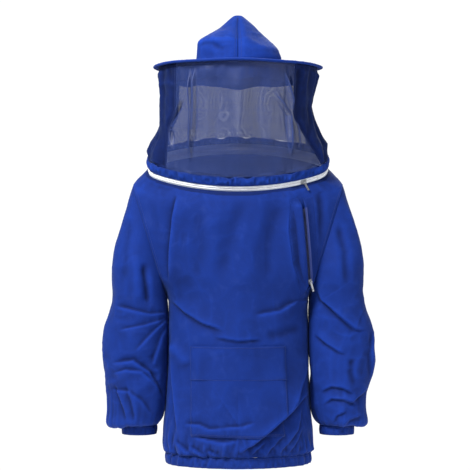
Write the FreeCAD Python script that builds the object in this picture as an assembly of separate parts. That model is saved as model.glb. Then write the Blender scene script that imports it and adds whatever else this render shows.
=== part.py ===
import FreeCAD, Part
import math
import os

# Beekeeping jacket: a pull-on jacket with elastic waist and cuffs, and a veiled hat
# that zips to its neckline.
# Millimetres. +X is the wearer's left, -Y the front, +Z up.
# The origin is on the centre line at shoulder level, straight above the front neck zip.

# Cloth and trim
CLOTH = 1.6              # jacket, veil and hat fabric
TAPE = 1.0               # zip tape
ELASTIC = 1.6            # elastic bands
BODY_GAP = 0.6           # clearance between fabric pieces on different bodies
SEAM_EASE = 0.02         # between the panels' top and the zip tape sewn inside it

# Neckline ring that the long zip follows: an oval of four arcs, low at the front
NECK_HALF_WIDTH = 219.0
NECK_HALF_DEPTH = 127.0
NECK_TILT = 25.0         # degrees, front down
ARC_HALF_ANGLE = 40.0    # degrees, half the turn of the front and back arcs of every oval

# Neck zip
TOOTH_GAP = 0.75         # from the zip's centre line to each row of teeth
TOOTH_ROW = 3.0          # height of a row
TOOTH_PROUD = 0.8        # teeth in front of the tape
TAPE_HEIGHT = 10.0
FABRIC_OFF_ZIP = 6.5     # from the zip's centre line to the fabric edges
NECK_BAND = 23.5
HOOD_HINGE_OUT = 4.0     # hood's hinge line, behind the zip's line at the nape

# Torso
HEM_Z = -666.0
HEM_BAND = 26.0
HEM_HALF_WIDTH = 176.0
HEM_HALF_DEPTH = 126.0
BLOUSE_Z = -590.0
BLOUSE_HALF_WIDTH = 180.0
BLOUSE_HALF_DEPTH = 142.0
WAIST_HALF_WIDTH = 172.0
BELLY_HALF_DEPTH = 138.0
BELLY_Z = -470.0
RIB_Z = -350.0
RIB_HALF_DEPTH = 134.0
CHEST_HALF_DEPTH = 130.0
UNDERARM_HALF_WIDTH = 176.0
UNDERARM_Z = -250.0
ARMPIT_HALF_WIDTH = 216.0   # the chest widens quickly above the underarm
ARMPIT_HALF_DEPTH = 131.0
ARMPIT_Z = -200.0
UPPER_CHEST_HALF_WIDTH = 258.0
UPPER_CHEST_HALF_DEPTH = 132.0
UPPER_CHEST_Z = -130.0
YOKE_HALF_WIDTH = 270.0
YOKE_HALF_DEPTH = 133.0
YOKE_Z = -10.0
YOKE_TILT = 12.0
SHOULDER_HALF_WIDTH = 256.0
SHOULDER_Z = 10.0
WAIST_ELASTIC_HEIGHT = 20.0

# Pocket
POCKET_HALF_WIDTH = 111.0
POCKET_TOP_Z = -375.0
POCKET_BOTTOM_Z = -590.0
POCKET_GAP = 12.0
POCKET_BAND = 81.0

# Sleeves
ARMHOLE_HALF_DEPTH = 94.0
SLEEVE_TOP_HALF_DEPTH = 84.0
SLEEVE_TOP_X = 300.0     # outer end of the sleeve's top edge, where the sleeve swings
SLEEVE_TOP_Z = -140.0
SLEEVE_CLEAR = 5.0       # between a sleeve and the side of the torso
SLEEVE_WIDEST = 74.0
SLEEVE_CENTRE_X = WAIST_HALF_WIDTH + SLEEVE_CLEAR + SLEEVE_WIDEST
UPPER_ARM_HALF_WIDTH = 66.0
UPPER_ARM_Z = -275.0
ARM_HALF_DEPTH = 72.0
ABOVE_ELBOW_Z = -345.0
ELBOW_X = SLEEVE_CENTRE_X + 2.0
ELBOW_Z = -405.0
FOREARM_RADIUS = 68.0
FOREARM_X = SLEEVE_CENTRE_X - 2.0
FOREARM_Z = -485.0
ABOVE_CUFF_RADIUS = 58.0
ABOVE_CUFF_X = 245.0
ABOVE_CUFF_Z = -543.0
CUFF_X = 242.0
CUFF_TOP_Z = -574.0
CUFF_BAND = 22.0
CUFF_ELASTIC_HEIGHT = 14.0
WRIST_RADIUS = 40.0

# Hat
BRIM_Z = 299.0
BRIM_RADIUS = 208.0
BINDING_RADIUS = 3.6
WIRE_RADIUS = 1.5
WIRE_GAP = 2.0
FERRULE_LENGTH = 24.0
FERRULE_WALL = 0.8
PLY = 1.2
HEAD_RADIUS = 98.0
SWEATBAND = 2.0
HAT_ELASTIC = 1.2
CROWN_WALL = 30.0        # upright height at the foot of the crown
SWEATBAND_HEIGHT = 28.0
CROWN_SHOULDER_R = 92.0
CROWN_SHOULDER_Z = 358.0
CROWN_TOP_Z = 428.0
CROWN_LOWER_SWELL = (2.2, 0.8)   # out and up from the straight line, at mid height
CROWN_UPPER_SWELL = (4.0, 6.0)
CROWN_BEND_DROP = 0.6            # inside's drop at the bend and at the peak, per mm of wall
CROWN_PEAK_DROP = 1.2
HAT_ELASTIC_FOOT = 6.0
HAT_ELASTIC_TOP = 22.0
HAT_ELASTIC_START = 30.0         # degrees round the back of the hat
HAT_ELASTIC_TURN = 120.0
WIRE_ROOM = 0.3                  # between the ferrule and its channel

# Veil
VEIL_TOP_RADIUS = 194.0
VEIL_MID_HALF_WIDTH = 188.0
VEIL_MID_HALF_DEPTH = 158.0
VEIL_MID_Y = -12.0
VEIL_MID_Z = 180.0
VEIL_MID_TILT = 11.0
VALANCE = 34.0
WINDOW_TOP_HALF_WIDTH = 150.0
WINDOW_FOOT_HALF_WIDTH = 170.0
WINDOW_STEP_Z = 186.0
WINDOW_FOOT_Z = 147.0

# Zip sliders and pulls
SLIDER_LENGTH = 16.0
SLIDER_HALF_HEIGHT = 4.6
SLIDER_PLATE = 1.3
SLIDER_CLEAR = 0.4
SLIDER_ANGLE = 31.5      # degrees from the front centre, towards the wearer's left
PULL_LENGTH = 24.0
PULL_WIDTH = 5.0
PULL_THICK = 1.2
PULL_HOLE_RADIUS = 1.1
NECK_PULL_LIE = 54.0     # degrees the neck pull lies out from the zip's own face
EYE_WALL = 0.8
PIN_RADIUS = 0.7
PIN_CLEAR = 0.3
LUG = 1.2
EAR_WIDTH = 3.4
STOP_LENGTH = 1.6
STOP_THICK = 0.8

# Side zip, a hidden opening on one arc from below the neckline to the underarm
SIDE_ZIP_TOP = FreeCAD.Vector(156.0, -99.3, -45.0)
SIDE_ZIP_MIDDLE = FreeCAD.Vector(165.0, -92.1, -140.0)
SIDE_ZIP_FOOT = FreeCAD.Vector(172.0, -60.0, -225.0)
SIDE_ZIP_LIFT = 8.0      # from the points above to the zip's tape
SIDE_ZIP_LEAN = 32.0     # degrees the zip's face turns sideways from its arc's own plane
SIDE_TAPE_WIDTH = 6.5
SIDE_SLIDER_LENGTH = 13.0
SIDE_SLIDER_HALF_HEIGHT = 4.6
PLACKET_DEPTH = 16.0


V = FreeCAD.Vector
UP = V(0, 0, 1)
BIG = 1000.0


def write(name, shape):
    shape.exportStep("parts/" + name + ".step")


def oval(half_width, half_depth, place):
    """Closed wire of four tangent arcs, wider along its own X than along its own Y,
    and the radius of its front and back arcs."""
    s = math.sin(math.radians(ARC_HALF_ANGLE))
    c = math.cos(math.radians(ARC_HALF_ANGLE))
    det = s + c - 1
    flat_r = (half_width * c - half_depth * (1 - s)) / det
    meet_x = flat_r * s
    meet_y = half_depth - flat_r * (1 - c)
    front = V(0, -half_depth, 0)
    back = V(0, half_depth, 0)
    left = V(half_width, 0, 0)
    right = V(-half_width, 0, 0)
    corners = [V(-meet_x, -meet_y, 0), V(meet_x, -meet_y, 0), V(meet_x, meet_y, 0), V(-meet_x, meet_y, 0)]
    middles = [front, left, back, right]
    edges = []
    for i, middle in enumerate(middles):
        edges.append(Part.Arc(corners[i], middle, corners[(i + 1) % 4]).toShape())
    wire = Part.Wire(edges)
    wire.Placement = place
    return wire, flat_r


def level(x, y, z, tilt=0.0):
    """Place of a section tilted about X, front down."""
    return FreeCAD.Placement(V(x, y, z), FreeCAD.Rotation(V(1, 0, 0), tilt))


def loft(sections, grow=0.0, straight=False):
    wires = []
    for half_width, half_depth, place in sections:
        wires.append(oval(half_width + grow, half_depth + grow, place)[0])
    return Part.makeLoft(wires, True, straight)


def skin(sections, wall=CLOTH, outer=0.0, straight=False):
    """Open tube of fabric whose outside is the given sections grown by outer."""
    return loft(sections, outer, straight).cut(loft(sections, outer - wall, straight))


def box(x0, x1, y0, y1, z0, z1):
    return Part.makeBox(x1 - x0, y1 - y0, z1 - z0, V(x0, y0, z0))


def prism_y(points):
    """Solid whose outline is given in XZ, running right through along Y."""
    corners = [V(x, -BIG, z) for x, z in points]
    face = Part.Face(Part.makePolygon(corners + corners[:1]))
    return face.extrude(V(0, 2 * BIG, 0))


def mirror_x(shape):
    return shape.mirror(V(0, 0, 0), V(1, 0, 0))


def one(shape):
    """The single solid of a boolean result."""
    if len(shape.Solids) != 1:
        raise RuntimeError("expected one solid, found %d" % len(shape.Solids))
    return shape.Solids[0]


FRONT_HALF = box(-BIG, BIG, -BIG, 0, -BIG, BIG)
BACK_HALF = box(-BIG, BIG, 0, BIG, -BIG, BIG)

# ---------------------------------------------------------------- neck ring
TILT = math.radians(NECK_TILT)
RING_Z = NECK_HALF_DEPTH * math.sin(TILT)
RING_NORMAL = V(0, -math.sin(TILT), math.cos(TILT))
RING_BACK = V(0, math.cos(TILT), math.sin(TILT))
NECK_ARC_RADIUS = oval(NECK_HALF_WIDTH, NECK_HALF_DEPTH, FreeCAD.Placement())[1]
ARC_CENTRE = V(0, 0, RING_Z) + RING_BACK * (NECK_ARC_RADIUS - NECK_HALF_DEPTH)


def ring_place(n):
    centre = V(0, 0, RING_Z) + RING_NORMAL * n
    return FreeCAD.Placement(centre, FreeCAD.Rotation(V(1, 0, 0), NECK_TILT))


def ring_band(n0, n1, r0, r1):
    """Band round the neck ring from n0 to n1 along its normal and r0 to r1 outward."""
    depth = RING_NORMAL * (n1 - n0)
    sides = []
    for grow in (r1, r0):
        wire = oval(NECK_HALF_WIDTH + grow, NECK_HALF_DEPTH + grow, ring_place(n0))[0]
        sides.append(Part.Face(wire).extrude(depth))
    return sides[0].cut(sides[1])


teeth_top = TOOTH_GAP + TOOTH_ROW
tape_top = teeth_top + TAPE_HEIGHT
band_top = FABRIC_OFF_ZIP + NECK_BAND

# ---------------------------------------------------------------- torso
torso_sections = [
    (HEM_HALF_WIDTH, HEM_HALF_DEPTH, level(0, 0, HEM_Z + HEM_BAND)),
    (BLOUSE_HALF_WIDTH, BLOUSE_HALF_DEPTH, level(0, 0, BLOUSE_Z)),
    (WAIST_HALF_WIDTH, BELLY_HALF_DEPTH, level(0, 0, BELLY_Z)),
    (WAIST_HALF_WIDTH, RIB_HALF_DEPTH, level(0, 0, RIB_Z)),
    (UNDERARM_HALF_WIDTH, CHEST_HALF_DEPTH, level(0, 0, UNDERARM_Z)),
    (ARMPIT_HALF_WIDTH, ARMPIT_HALF_DEPTH, level(0, 0, ARMPIT_Z)),
    (UPPER_CHEST_HALF_WIDTH, UPPER_CHEST_HALF_DEPTH, level(0, 0, UPPER_CHEST_Z)),
    (YOKE_HALF_WIDTH, YOKE_HALF_DEPTH, level(0, 0, YOKE_Z, YOKE_TILT)),
    (NECK_HALF_WIDTH + CLOTH, NECK_HALF_DEPTH + CLOTH, ring_place(-FABRIC_OFF_ZIP)),
]
torso_outer = loft(torso_sections)
lower_tape = ring_band(-tape_top, -teeth_top, -TAPE, 0.0)
tape_room = ring_band(-tape_top - BODY_GAP, -teeth_top, -TAPE - BODY_GAP, SEAM_EASE)
torso_skin = torso_outer.cut(loft(torso_sections, -CLOTH)).cut(tape_room)

shoulder = V(SHOULDER_HALF_WIDTH, 0, SHOULDER_Z)
underarm = V(UNDERARM_HALF_WIDTH, 0, UNDERARM_Z)
above = shoulder + (shoulder - underarm) * 0.5
armhole_cut = prism_y([
    (underarm.x, underarm.z),
    (above.x, above.z),
    (above.x + BIG, above.z),
    (above.x + BIG, underarm.z),
])
torso_skin = torso_skin.cut(armhole_cut).cut(mirror_x(armhole_cut))

# ---------------------------------------------------------------- sleeves


def across(start, end, half_depth, shift):
    """Oval section between two points in XZ, moved sideways out of its own plane by shift."""
    run = end - start
    angle = -math.degrees(math.atan2(run.z, run.x))
    centre = (start + end) * 0.5 + shift
    place = FreeCAD.Placement(centre, FreeCAD.Rotation(V(0, 1, 0), angle))
    return run.Length * 0.5, half_depth, place


sleeve_top = V(SLEEVE_TOP_X, 0, SLEEVE_TOP_Z)
sleeve_top_dir = V(sleeve_top - underarm).normalize()
sleeve_top_out = V(sleeve_top_dir.z, 0, -sleeve_top_dir.x)
upper_arm_x = SLEEVE_CENTRE_X - SLEEVE_WIDEST + UPPER_ARM_HALF_WIDTH
head_sections = [
    across(underarm, shoulder, ARMHOLE_HALF_DEPTH, V(0, 0, 0)),
    across(underarm, sleeve_top, SLEEVE_TOP_HALF_DEPTH, V(0, 0, 0)),
]
sleeve_head = one(skin(head_sections, straight=True))
sleeve_sections = [
    across(underarm, sleeve_top, SLEEVE_TOP_HALF_DEPTH, sleeve_top_out * BODY_GAP),
    (UPPER_ARM_HALF_WIDTH, ARM_HALF_DEPTH, level(upper_arm_x, 0, UPPER_ARM_Z)),
    (SLEEVE_WIDEST, ARM_HALF_DEPTH, level(SLEEVE_CENTRE_X, 0, ABOVE_ELBOW_Z)),
    (SLEEVE_WIDEST, ARM_HALF_DEPTH, level(ELBOW_X, 0, ELBOW_Z)),
    (FOREARM_RADIUS, FOREARM_RADIUS, level(FOREARM_X, 0, FOREARM_Z)),
    (ABOVE_CUFF_RADIUS, ABOVE_CUFF_RADIUS, level(ABOVE_CUFF_X, 0, ABOVE_CUFF_Z)),
    (WRIST_RADIUS + ELASTIC + CLOTH, WRIST_RADIUS + ELASTIC + CLOTH, level(CUFF_X, 0, CUFF_TOP_Z)),
]
sleeve = one(skin(sleeve_sections, straight=True))


def tube(x, z0, z1, r0, r1):
    body = Part.makeCylinder(r1, z1 - z0, V(x, 0, z0))
    return body.cut(Part.makeCylinder(r0, z1 - z0, V(x, 0, z0)))


cuff_foot_z = CUFF_TOP_Z - CUFF_BAND
elastic_r = WRIST_RADIUS + ELASTIC
cuff_casing = tube(CUFF_X, cuff_foot_z, CUFF_TOP_Z, elastic_r, elastic_r + CLOTH)
cuff_elastic_z = cuff_foot_z + 0.5 * (CUFF_BAND - CUFF_ELASTIC_HEIGHT)
cuff_elastic = tube(CUFF_X, cuff_elastic_z, cuff_elastic_z + CUFF_ELASTIC_HEIGHT, WRIST_RADIUS, elastic_r)

# ---------------------------------------------------------------- hem and pocket


def oval_band(half_width, half_depth, z0, z1, wall):
    outer = Part.Face(oval(half_width, half_depth, level(0, 0, z0))[0]).extrude(V(0, 0, z1 - z0))
    inner = Part.Face(oval(half_width - wall, half_depth - wall, level(0, 0, z0))[0]).extrude(V(0, 0, z1 - z0))
    return outer.cut(inner)


hem_top_z = HEM_Z + HEM_BAND
waist_casing = oval_band(HEM_HALF_WIDTH, HEM_HALF_DEPTH, HEM_Z, hem_top_z, CLOTH)
waist_elastic_z = HEM_Z + 0.5 * (HEM_BAND - WAIST_ELASTIC_HEIGHT)
waist_elastic = oval_band(HEM_HALF_WIDTH - CLOTH, HEM_HALF_DEPTH - CLOTH, waist_elastic_z,
                          waist_elastic_z + WAIST_ELASTIC_HEIGHT, ELASTIC)

pocket_block = box(-POCKET_HALF_WIDTH, POCKET_HALF_WIDTH, -BIG, 0, POCKET_BOTTOM_Z, POCKET_TOP_Z)
pocket_room = box(-POCKET_HALF_WIDTH + CLOTH, POCKET_HALF_WIDTH - CLOTH, -BIG, 0,
                  POCKET_BOTTOM_Z + CLOTH, POCKET_TOP_Z)
pocket_room = pocket_room.common(loft(torso_sections, POCKET_GAP))
pocket = loft(torso_sections, POCKET_GAP + CLOTH).common(pocket_block).cut(torso_outer).cut(pocket_room)
band_block = box(-POCKET_HALF_WIDTH, POCKET_HALF_WIDTH, -BIG, 0, POCKET_TOP_Z - POCKET_BAND, POCKET_TOP_Z)
pocket_band = skin(torso_sections, PLY, POCKET_GAP + CLOTH + PLY).common(band_block)

# ---------------------------------------------------------------- veil and hat
veil_sections = [
    (NECK_HALF_WIDTH + CLOTH, NECK_HALF_DEPTH + CLOTH, ring_place(band_top)),
    (VEIL_MID_HALF_WIDTH, VEIL_MID_HALF_DEPTH, level(0, VEIL_MID_Y, VEIL_MID_Z, VEIL_MID_TILT)),
    (VEIL_TOP_RADIUS, VEIL_TOP_RADIUS, level(0, 0, BRIM_Z - PLY)),
]
veil = skin(veil_sections)
valance_z = BRIM_Z - VALANCE
window = prism_y([
    (-WINDOW_FOOT_HALF_WIDTH, -BIG),
    (WINDOW_FOOT_HALF_WIDTH, -BIG),
    (WINDOW_FOOT_HALF_WIDTH, WINDOW_FOOT_Z),
    (WINDOW_TOP_HALF_WIDTH, WINDOW_STEP_Z),
    (WINDOW_TOP_HALF_WIDTH, BIG),
    (-WINDOW_TOP_HALF_WIDTH, BIG),
    (-WINDOW_TOP_HALF_WIDTH, WINDOW_STEP_Z),
    (-WINDOW_FOOT_HALF_WIDTH, WINDOW_FOOT_Z),
])
centre_veil = veil.common(window)
side_veil = veil.cut(window)
above_valance = box(-BIG, BIG, -BIG, BIG, valance_z, BIG)
valance = centre_veil.common(above_valance)
net = centre_veil.cut(above_valance)
left_of_centre = box(0, BIG, -BIG, BIG, -BIG, BIG)

wire_ring_r = BRIM_RADIUS - BINDING_RADIUS
binding_hollow = WIRE_RADIUS + FERRULE_WALL + WIRE_ROOM
brim_centre = V(0, 0, BRIM_Z)
binding_solid = Part.makeTorus(wire_ring_r, BINDING_RADIUS, brim_centre, UP)
binding = binding_solid.cut(Part.makeTorus(wire_ring_r, binding_hollow, brim_centre, UP))
wire_trim_angle = math.degrees(WIRE_GAP / wire_ring_r)


def wire_arc(radius, start, turn):
    """Round bar along the hoop, from start degrees round by turn degrees."""
    profile = Part.Face(Part.Wire(Part.makeCircle(radius, V(wire_ring_r, 0, BRIM_Z), V(0, 1, 0))))
    profile.rotate(V(0, 0, 0), UP, start)
    return profile.revolve(V(0, 0, 0), UP, turn)


hoop_wire = wire_arc(WIRE_RADIUS, 90.0 + 0.5 * wire_trim_angle, 360.0 - wire_trim_angle)
ferrule_turn = math.degrees(FERRULE_LENGTH / wire_ring_r)
ferrule_start = 90.0 - 0.5 * ferrule_turn
ferrule = wire_arc(WIRE_RADIUS + FERRULE_WALL, ferrule_start, ferrule_turn)
ferrule = ferrule.cut(wire_arc(WIRE_RADIUS, ferrule_start - 1.0, ferrule_turn + 2.0))

crown_inner_r = HEAD_RADIUS + SWEATBAND + HAT_ELASTIC
crown_foot_r = crown_inner_r + CLOTH


def brim_ply(z0):
    ply = Part.makeCylinder(wire_ring_r, PLY, V(0, 0, z0))
    ply = ply.cut(Part.makeCylinder(crown_inner_r, PLY, V(0, 0, z0)))
    return ply.cut(binding_solid)


crown_foot_z = BRIM_Z + PLY


def crown_line(inset):
    """Half outline of the crown, from its foot up to the peak on the centre line."""
    foot = V(crown_foot_r - inset, 0, crown_foot_z)
    wall_top = V(crown_foot_r - inset, 0, crown_foot_z + CROWN_WALL)
    bend = V(CROWN_SHOULDER_R - inset, 0, CROWN_SHOULDER_Z - CROWN_BEND_DROP * inset)
    peak = V(0, 0, CROWN_TOP_Z - CROWN_PEAK_DROP * inset)
    lower_mid = (wall_top + bend) * 0.5 + V(CROWN_LOWER_SWELL[0], 0, CROWN_LOWER_SWELL[1])
    upper_mid = (bend + peak) * 0.5 + V(CROWN_UPPER_SWELL[0], 0, CROWN_UPPER_SWELL[1])
    wall = Part.makeLine(foot, wall_top)
    lower = Part.Arc(wall_top, lower_mid, bend).toShape()
    upper = Part.Arc(bend, upper_mid, peak).toShape()
    return [wall, lower, upper], foot, peak


outer_line, outer_foot, outer_peak = crown_line(0.0)
inner_line, inner_foot, inner_peak = crown_line(CLOTH)
crown_edges = outer_line + [Part.makeLine(outer_peak, inner_peak)]
crown_edges += inner_line + [Part.makeLine(inner_foot, outer_foot)]
crown_face = Part.Face(Part.Wire(Part.__sortEdges__(crown_edges)))


def crown_panel(start):
    profile = crown_face.copy()
    profile.rotate(V(0, 0, 0), UP, start)
    return profile.revolve(V(0, 0, 0), UP, 90.0)


sweatband = tube(0, crown_foot_z, crown_foot_z + SWEATBAND_HEIGHT, HEAD_RADIUS, HEAD_RADIUS + SWEATBAND)
elastic_face = Part.Face(Part.makePolygon([
    V(HEAD_RADIUS + SWEATBAND, 0, crown_foot_z + HAT_ELASTIC_FOOT),
    V(crown_inner_r, 0, crown_foot_z + HAT_ELASTIC_FOOT),
    V(crown_inner_r, 0, crown_foot_z + HAT_ELASTIC_TOP),
    V(HEAD_RADIUS + SWEATBAND, 0, crown_foot_z + HAT_ELASTIC_TOP),
    V(HEAD_RADIUS + SWEATBAND, 0, crown_foot_z + HAT_ELASTIC_FOOT),
]))
elastic_face.rotate(V(0, 0, 0), UP, HAT_ELASTIC_START)
hat_elastic = elastic_face.revolve(V(0, 0, 0), UP, HAT_ELASTIC_TURN)

# ---------------------------------------------------------------- zips


class ZipArc:
    """A zip that follows one arc. Profiles are given as (out, across) from the zip's line,
    out away from the garment and across over both rows of teeth."""

    def __init__(self, centre, axis, start, lean):
        self.centre = centre
        self.axis = axis
        self.start = start
        self.radius = (start - centre).Length
        radial = V(start - centre).normalize()
        turn = math.radians(lean)
        self.out = radial * math.cos(turn) + axis * math.sin(turn)
        self.across = axis * math.cos(turn) - radial * math.sin(turn)

    def at(self, angle, direction):
        return FreeCAD.Rotation(self.axis, angle).multVec(direction)

    def point(self, angle, out, across=0.0):
        arm = self.start - self.centre + self.out * out + self.across * across
        return self.centre + self.at(angle, arm)

    def degrees(self, length):
        return math.degrees(length / self.radius)

    def block(self, out0, out1, across0, across1, start, turn):
        """Solid with a rectangular profile from start degrees round by turn degrees."""
        corners = [self.point(start, out0, across0), self.point(start, out1, across0),
                   self.point(start, out1, across1), self.point(start, out0, across1)]
        face = Part.Face(Part.makePolygon(corners + corners[:1]))
        return face.revolve(self.centre, self.axis, turn)


def rod(centre, direction, radius, length):
    return Part.makeCylinder(radius, length, centre - direction * (0.5 * length), direction)


def slab(centre, along, up, length, height, thick):
    """Box centred on a point, length along one direction, height along another."""
    out = along.cross(up)
    a = centre - along * (0.5 * length) - up * (0.5 * height) - out * (0.5 * thick)
    b = a + along * length
    face = Part.Face(Part.makePolygon([a, b, b + up * height, a + up * height, a]))
    return face.extrude(out * thick)


plate_front = TOOTH_PROUD + SLIDER_CLEAR
plate_back = -TAPE - TOOTH_PROUD - SLIDER_CLEAR
web_half = TOOTH_GAP - SLIDER_CLEAR
pin_lift = plate_front + SLIDER_PLATE + PIN_RADIUS + PIN_CLEAR + EYE_WALL + SLIDER_CLEAR


def make_slider(line, angle, length, half_height, pin_along):
    """Slider with front and back plates, a web between the rows of teeth and two ears.
    pin_along is the direction of the pull's pin."""
    start = angle - 0.5 * line.degrees(length)
    turn = line.degrees(length)
    front = line.block(plate_front, plate_front + SLIDER_PLATE, -half_height, half_height, start, turn)
    back = line.block(plate_back - SLIDER_PLATE, plate_back, -half_height, half_height, start, turn)
    web = line.block(plate_back, plate_front, -web_half, web_half, start, turn)
    out = line.at(angle, line.out)
    pin_centre = line.point(angle, pin_lift)
    ear_height = pin_lift - plate_front + PIN_RADIUS + EYE_WALL
    ear_middle = line.point(angle, plate_front + 0.5 * ear_height)
    ears = []
    for side in (-1, 1):
        middle = ear_middle + pin_along * (side * 0.5 * (PULL_WIDTH + 2 * PIN_CLEAR + LUG))
        ears.append(slab(middle, pin_along, out.cross(pin_along), LUG, EAR_WIDTH, ear_height))
    pin = rod(pin_centre, pin_along, PIN_RADIUS, PULL_WIDTH + 2 * PIN_CLEAR + 2 * LUG)
    body = front.multiFuse([back, web] + ears).cut(pin)
    return body, pin, pin_centre


def pull_tab(centre, pin_along, down):
    """Flat tab with a round eye on the pin and a hole at its free end."""
    eye_bore = PIN_RADIUS + PIN_CLEAR
    eye = rod(centre, pin_along, eye_bore + EYE_WALL, PULL_WIDTH)
    tab = slab(centre + down * (0.5 * PULL_LENGTH), pin_along, down, PULL_WIDTH, PULL_LENGTH, PULL_THICK)
    tab = tab.fuse(eye).cut(rod(centre, pin_along, eye_bore, 2 * PULL_WIDTH))
    hole_centre = centre + down * (PULL_LENGTH - PULL_WIDTH)
    return tab.cut(rod(hole_centre, pin_along.cross(down), PULL_HOLE_RADIUS, 4 * PULL_THICK))


ring_front = V(0, 0, RING_Z) - RING_BACK * NECK_HALF_DEPTH
neck_line = ZipArc(ARC_CENTRE, RING_NORMAL, ring_front, 0.0)
neck_pin_along = neck_line.at(SLIDER_ANGLE, V(1, 0, 0))
neck_slider, neck_pin, neck_pin_centre = make_slider(neck_line, SLIDER_ANGLE, SLIDER_LENGTH,
                                                     SLIDER_HALF_HEIGHT, neck_pin_along)
lie = math.radians(NECK_PULL_LIE)
neck_pull_down = RING_NORMAL * -math.cos(lie) + neck_line.at(SLIDER_ANGLE, neck_line.out) * math.sin(lie)
neck_pull = pull_tab(neck_pin_centre, neck_pin_along, neck_pull_down)
stop_turn = neck_line.degrees(STOP_LENGTH)
neck_stop = neck_line.block(TOOTH_PROUD, TOOTH_PROUD + STOP_THICK, -teeth_top, -TOOTH_GAP,
                            ARC_HALF_ANGLE - stop_turn, stop_turn)

# Side zip: its arc runs through three points on the torso, measured from the foot upward
side_normal = V((SIDE_ZIP_MIDDLE - SIDE_ZIP_FOOT).cross(SIDE_ZIP_TOP - SIDE_ZIP_FOOT)).normalize()
side_arc = Part.Arc(SIDE_ZIP_FOOT, SIDE_ZIP_MIDDLE, SIDE_ZIP_TOP).toShape()
side_centre = side_arc.Curve.Center
side_start = SIDE_ZIP_FOOT + V(SIDE_ZIP_FOOT - side_centre).normalize() * SIDE_ZIP_LIFT
side_line = ZipArc(side_centre, side_normal, side_start, -SIDE_ZIP_LEAN)
side_turn = math.degrees((SIDE_ZIP_FOOT - side_centre).getAngle(SIDE_ZIP_TOP - side_centre))
side_outer = teeth_top + SIDE_TAPE_WIDTH
rail_near = SIDE_SLIDER_HALF_HEIGHT + SLIDER_CLEAR
side_tapes = []
side_teeth = []
placket_rails = []
for side in (-1, 1):
    near = side * TOOTH_GAP
    far = side * teeth_top
    edge = side * side_outer
    side_teeth.append(side_line.block(-TAPE - TOOTH_PROUD, TOOTH_PROUD, near, far, 0.0, side_turn))
    side_tapes.append(side_line.block(-TAPE, 0.0, far, edge, 0.0, side_turn))
    rail = side_line.block(-PLACKET_DEPTH, -TAPE, side * rail_near, edge, 0.0, side_turn)
    placket_rails.append(one(rail.cut(torso_outer)))
side_rest = 0.5 * side_line.degrees(SIDE_SLIDER_LENGTH) + side_line.degrees(STOP_LENGTH)
print("side zip: centre", side_centre, "axis", side_normal, "turn", side_turn)

side_pin_along = side_line.at(side_rest, side_line.across)
side_slider, side_pin, side_pin_centre = make_slider(side_line, side_rest, SIDE_SLIDER_LENGTH,
                                                     SIDE_SLIDER_HALF_HEIGHT, side_pin_along)
print("neck zip: centre", ARC_CENTRE, "axis", RING_NORMAL)
print("neck pull pin", neck_pin_centre, "along", neck_pin_along)
print("side pull pin", side_pin_centre, "along", side_pin_along)
print("hood hinge", ring_front + RING_BACK * (2 * NECK_HALF_DEPTH + HOOD_HINGE_OUT))
print("sleeve hinge", sleeve_top + sleeve_top_out * (0.5 * BODY_GAP))
side_down = V(0, 0, -1) - side_pin_along * V(0, 0, -1).dot(side_pin_along)
side_pull = pull_tab(side_pin_centre, side_pin_along, side_down.normalize())

# ---------------------------------------------------------------- files

os.makedirs("parts", exist_ok=True)

gores = {"front_left": 270.0, "rear_left": 0.0, "rear_right": 90.0, "front_right": 180.0}
for place_name, start_angle in gores.items():
    write("crown_panel_" + place_name, crown_panel(start_angle))
write("brim_top_ply", brim_ply(BRIM_Z))
write("brim_under_ply", brim_ply(BRIM_Z - PLY))
write("brim_binding", binding)
write("hoop_wire", hoop_wire)
write("hoop_ferrule", ferrule)
write("sweatband", sweatband)
write("hat_elastic", hat_elastic)
write("front_valance", valance.common(FRONT_HALF))
write("rear_valance", valance.common(BACK_HALF))
write("front_net", net.common(FRONT_HALF))
write("rear_net", net.common(BACK_HALF))
write("left_veil_panel", side_veil.common(left_of_centre))
write("right_veil_panel", side_veil.cut(left_of_centre))
write("neck_band", ring_band(FABRIC_OFF_ZIP, band_top, 0.0, CLOTH))
write("upper_zip_tape", ring_band(teeth_top, tape_top, -TAPE, 0.0))
write("upper_zip_teeth", ring_band(TOOTH_GAP, teeth_top, -TAPE - TOOTH_PROUD, TOOTH_PROUD))
write("lower_zip_tape", lower_tape)
write("lower_zip_teeth", ring_band(-teeth_top, -TOOTH_GAP, -TAPE - TOOTH_PROUD, TOOTH_PROUD))
write("neck_zip_stop", neck_stop)

write("front_panel", torso_skin.common(FRONT_HALF))
write("back_panel", torso_skin.common(BACK_HALF))
write("pocket", pocket)
write("pocket_band", pocket_band)
write("waist_casing", waist_casing)
write("waist_elastic", waist_elastic)
write("side_zip_placket", Part.makeCompound(placket_rails))
write("side_zip_tapes", Part.makeCompound(side_tapes))
write("side_zip_teeth", Part.makeCompound(side_teeth))

sleeve_pieces = {
    "sleeve_head": sleeve_head,
    "sleeve": sleeve,
    "cuff_casing": cuff_casing,
    "cuff_elastic": cuff_elastic,
}
for piece_name, piece in sleeve_pieces.items():
    write("left_" + piece_name, piece)
    write("right_" + piece_name, mirror_x(piece))

write("neck_slider", neck_slider)
write("neck_pull_pin", neck_pin)
write("neck_pull", neck_pull)
write("side_slider", side_slider)
write("side_pull_pin", side_pin)
write("side_pull", side_pull)
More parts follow.
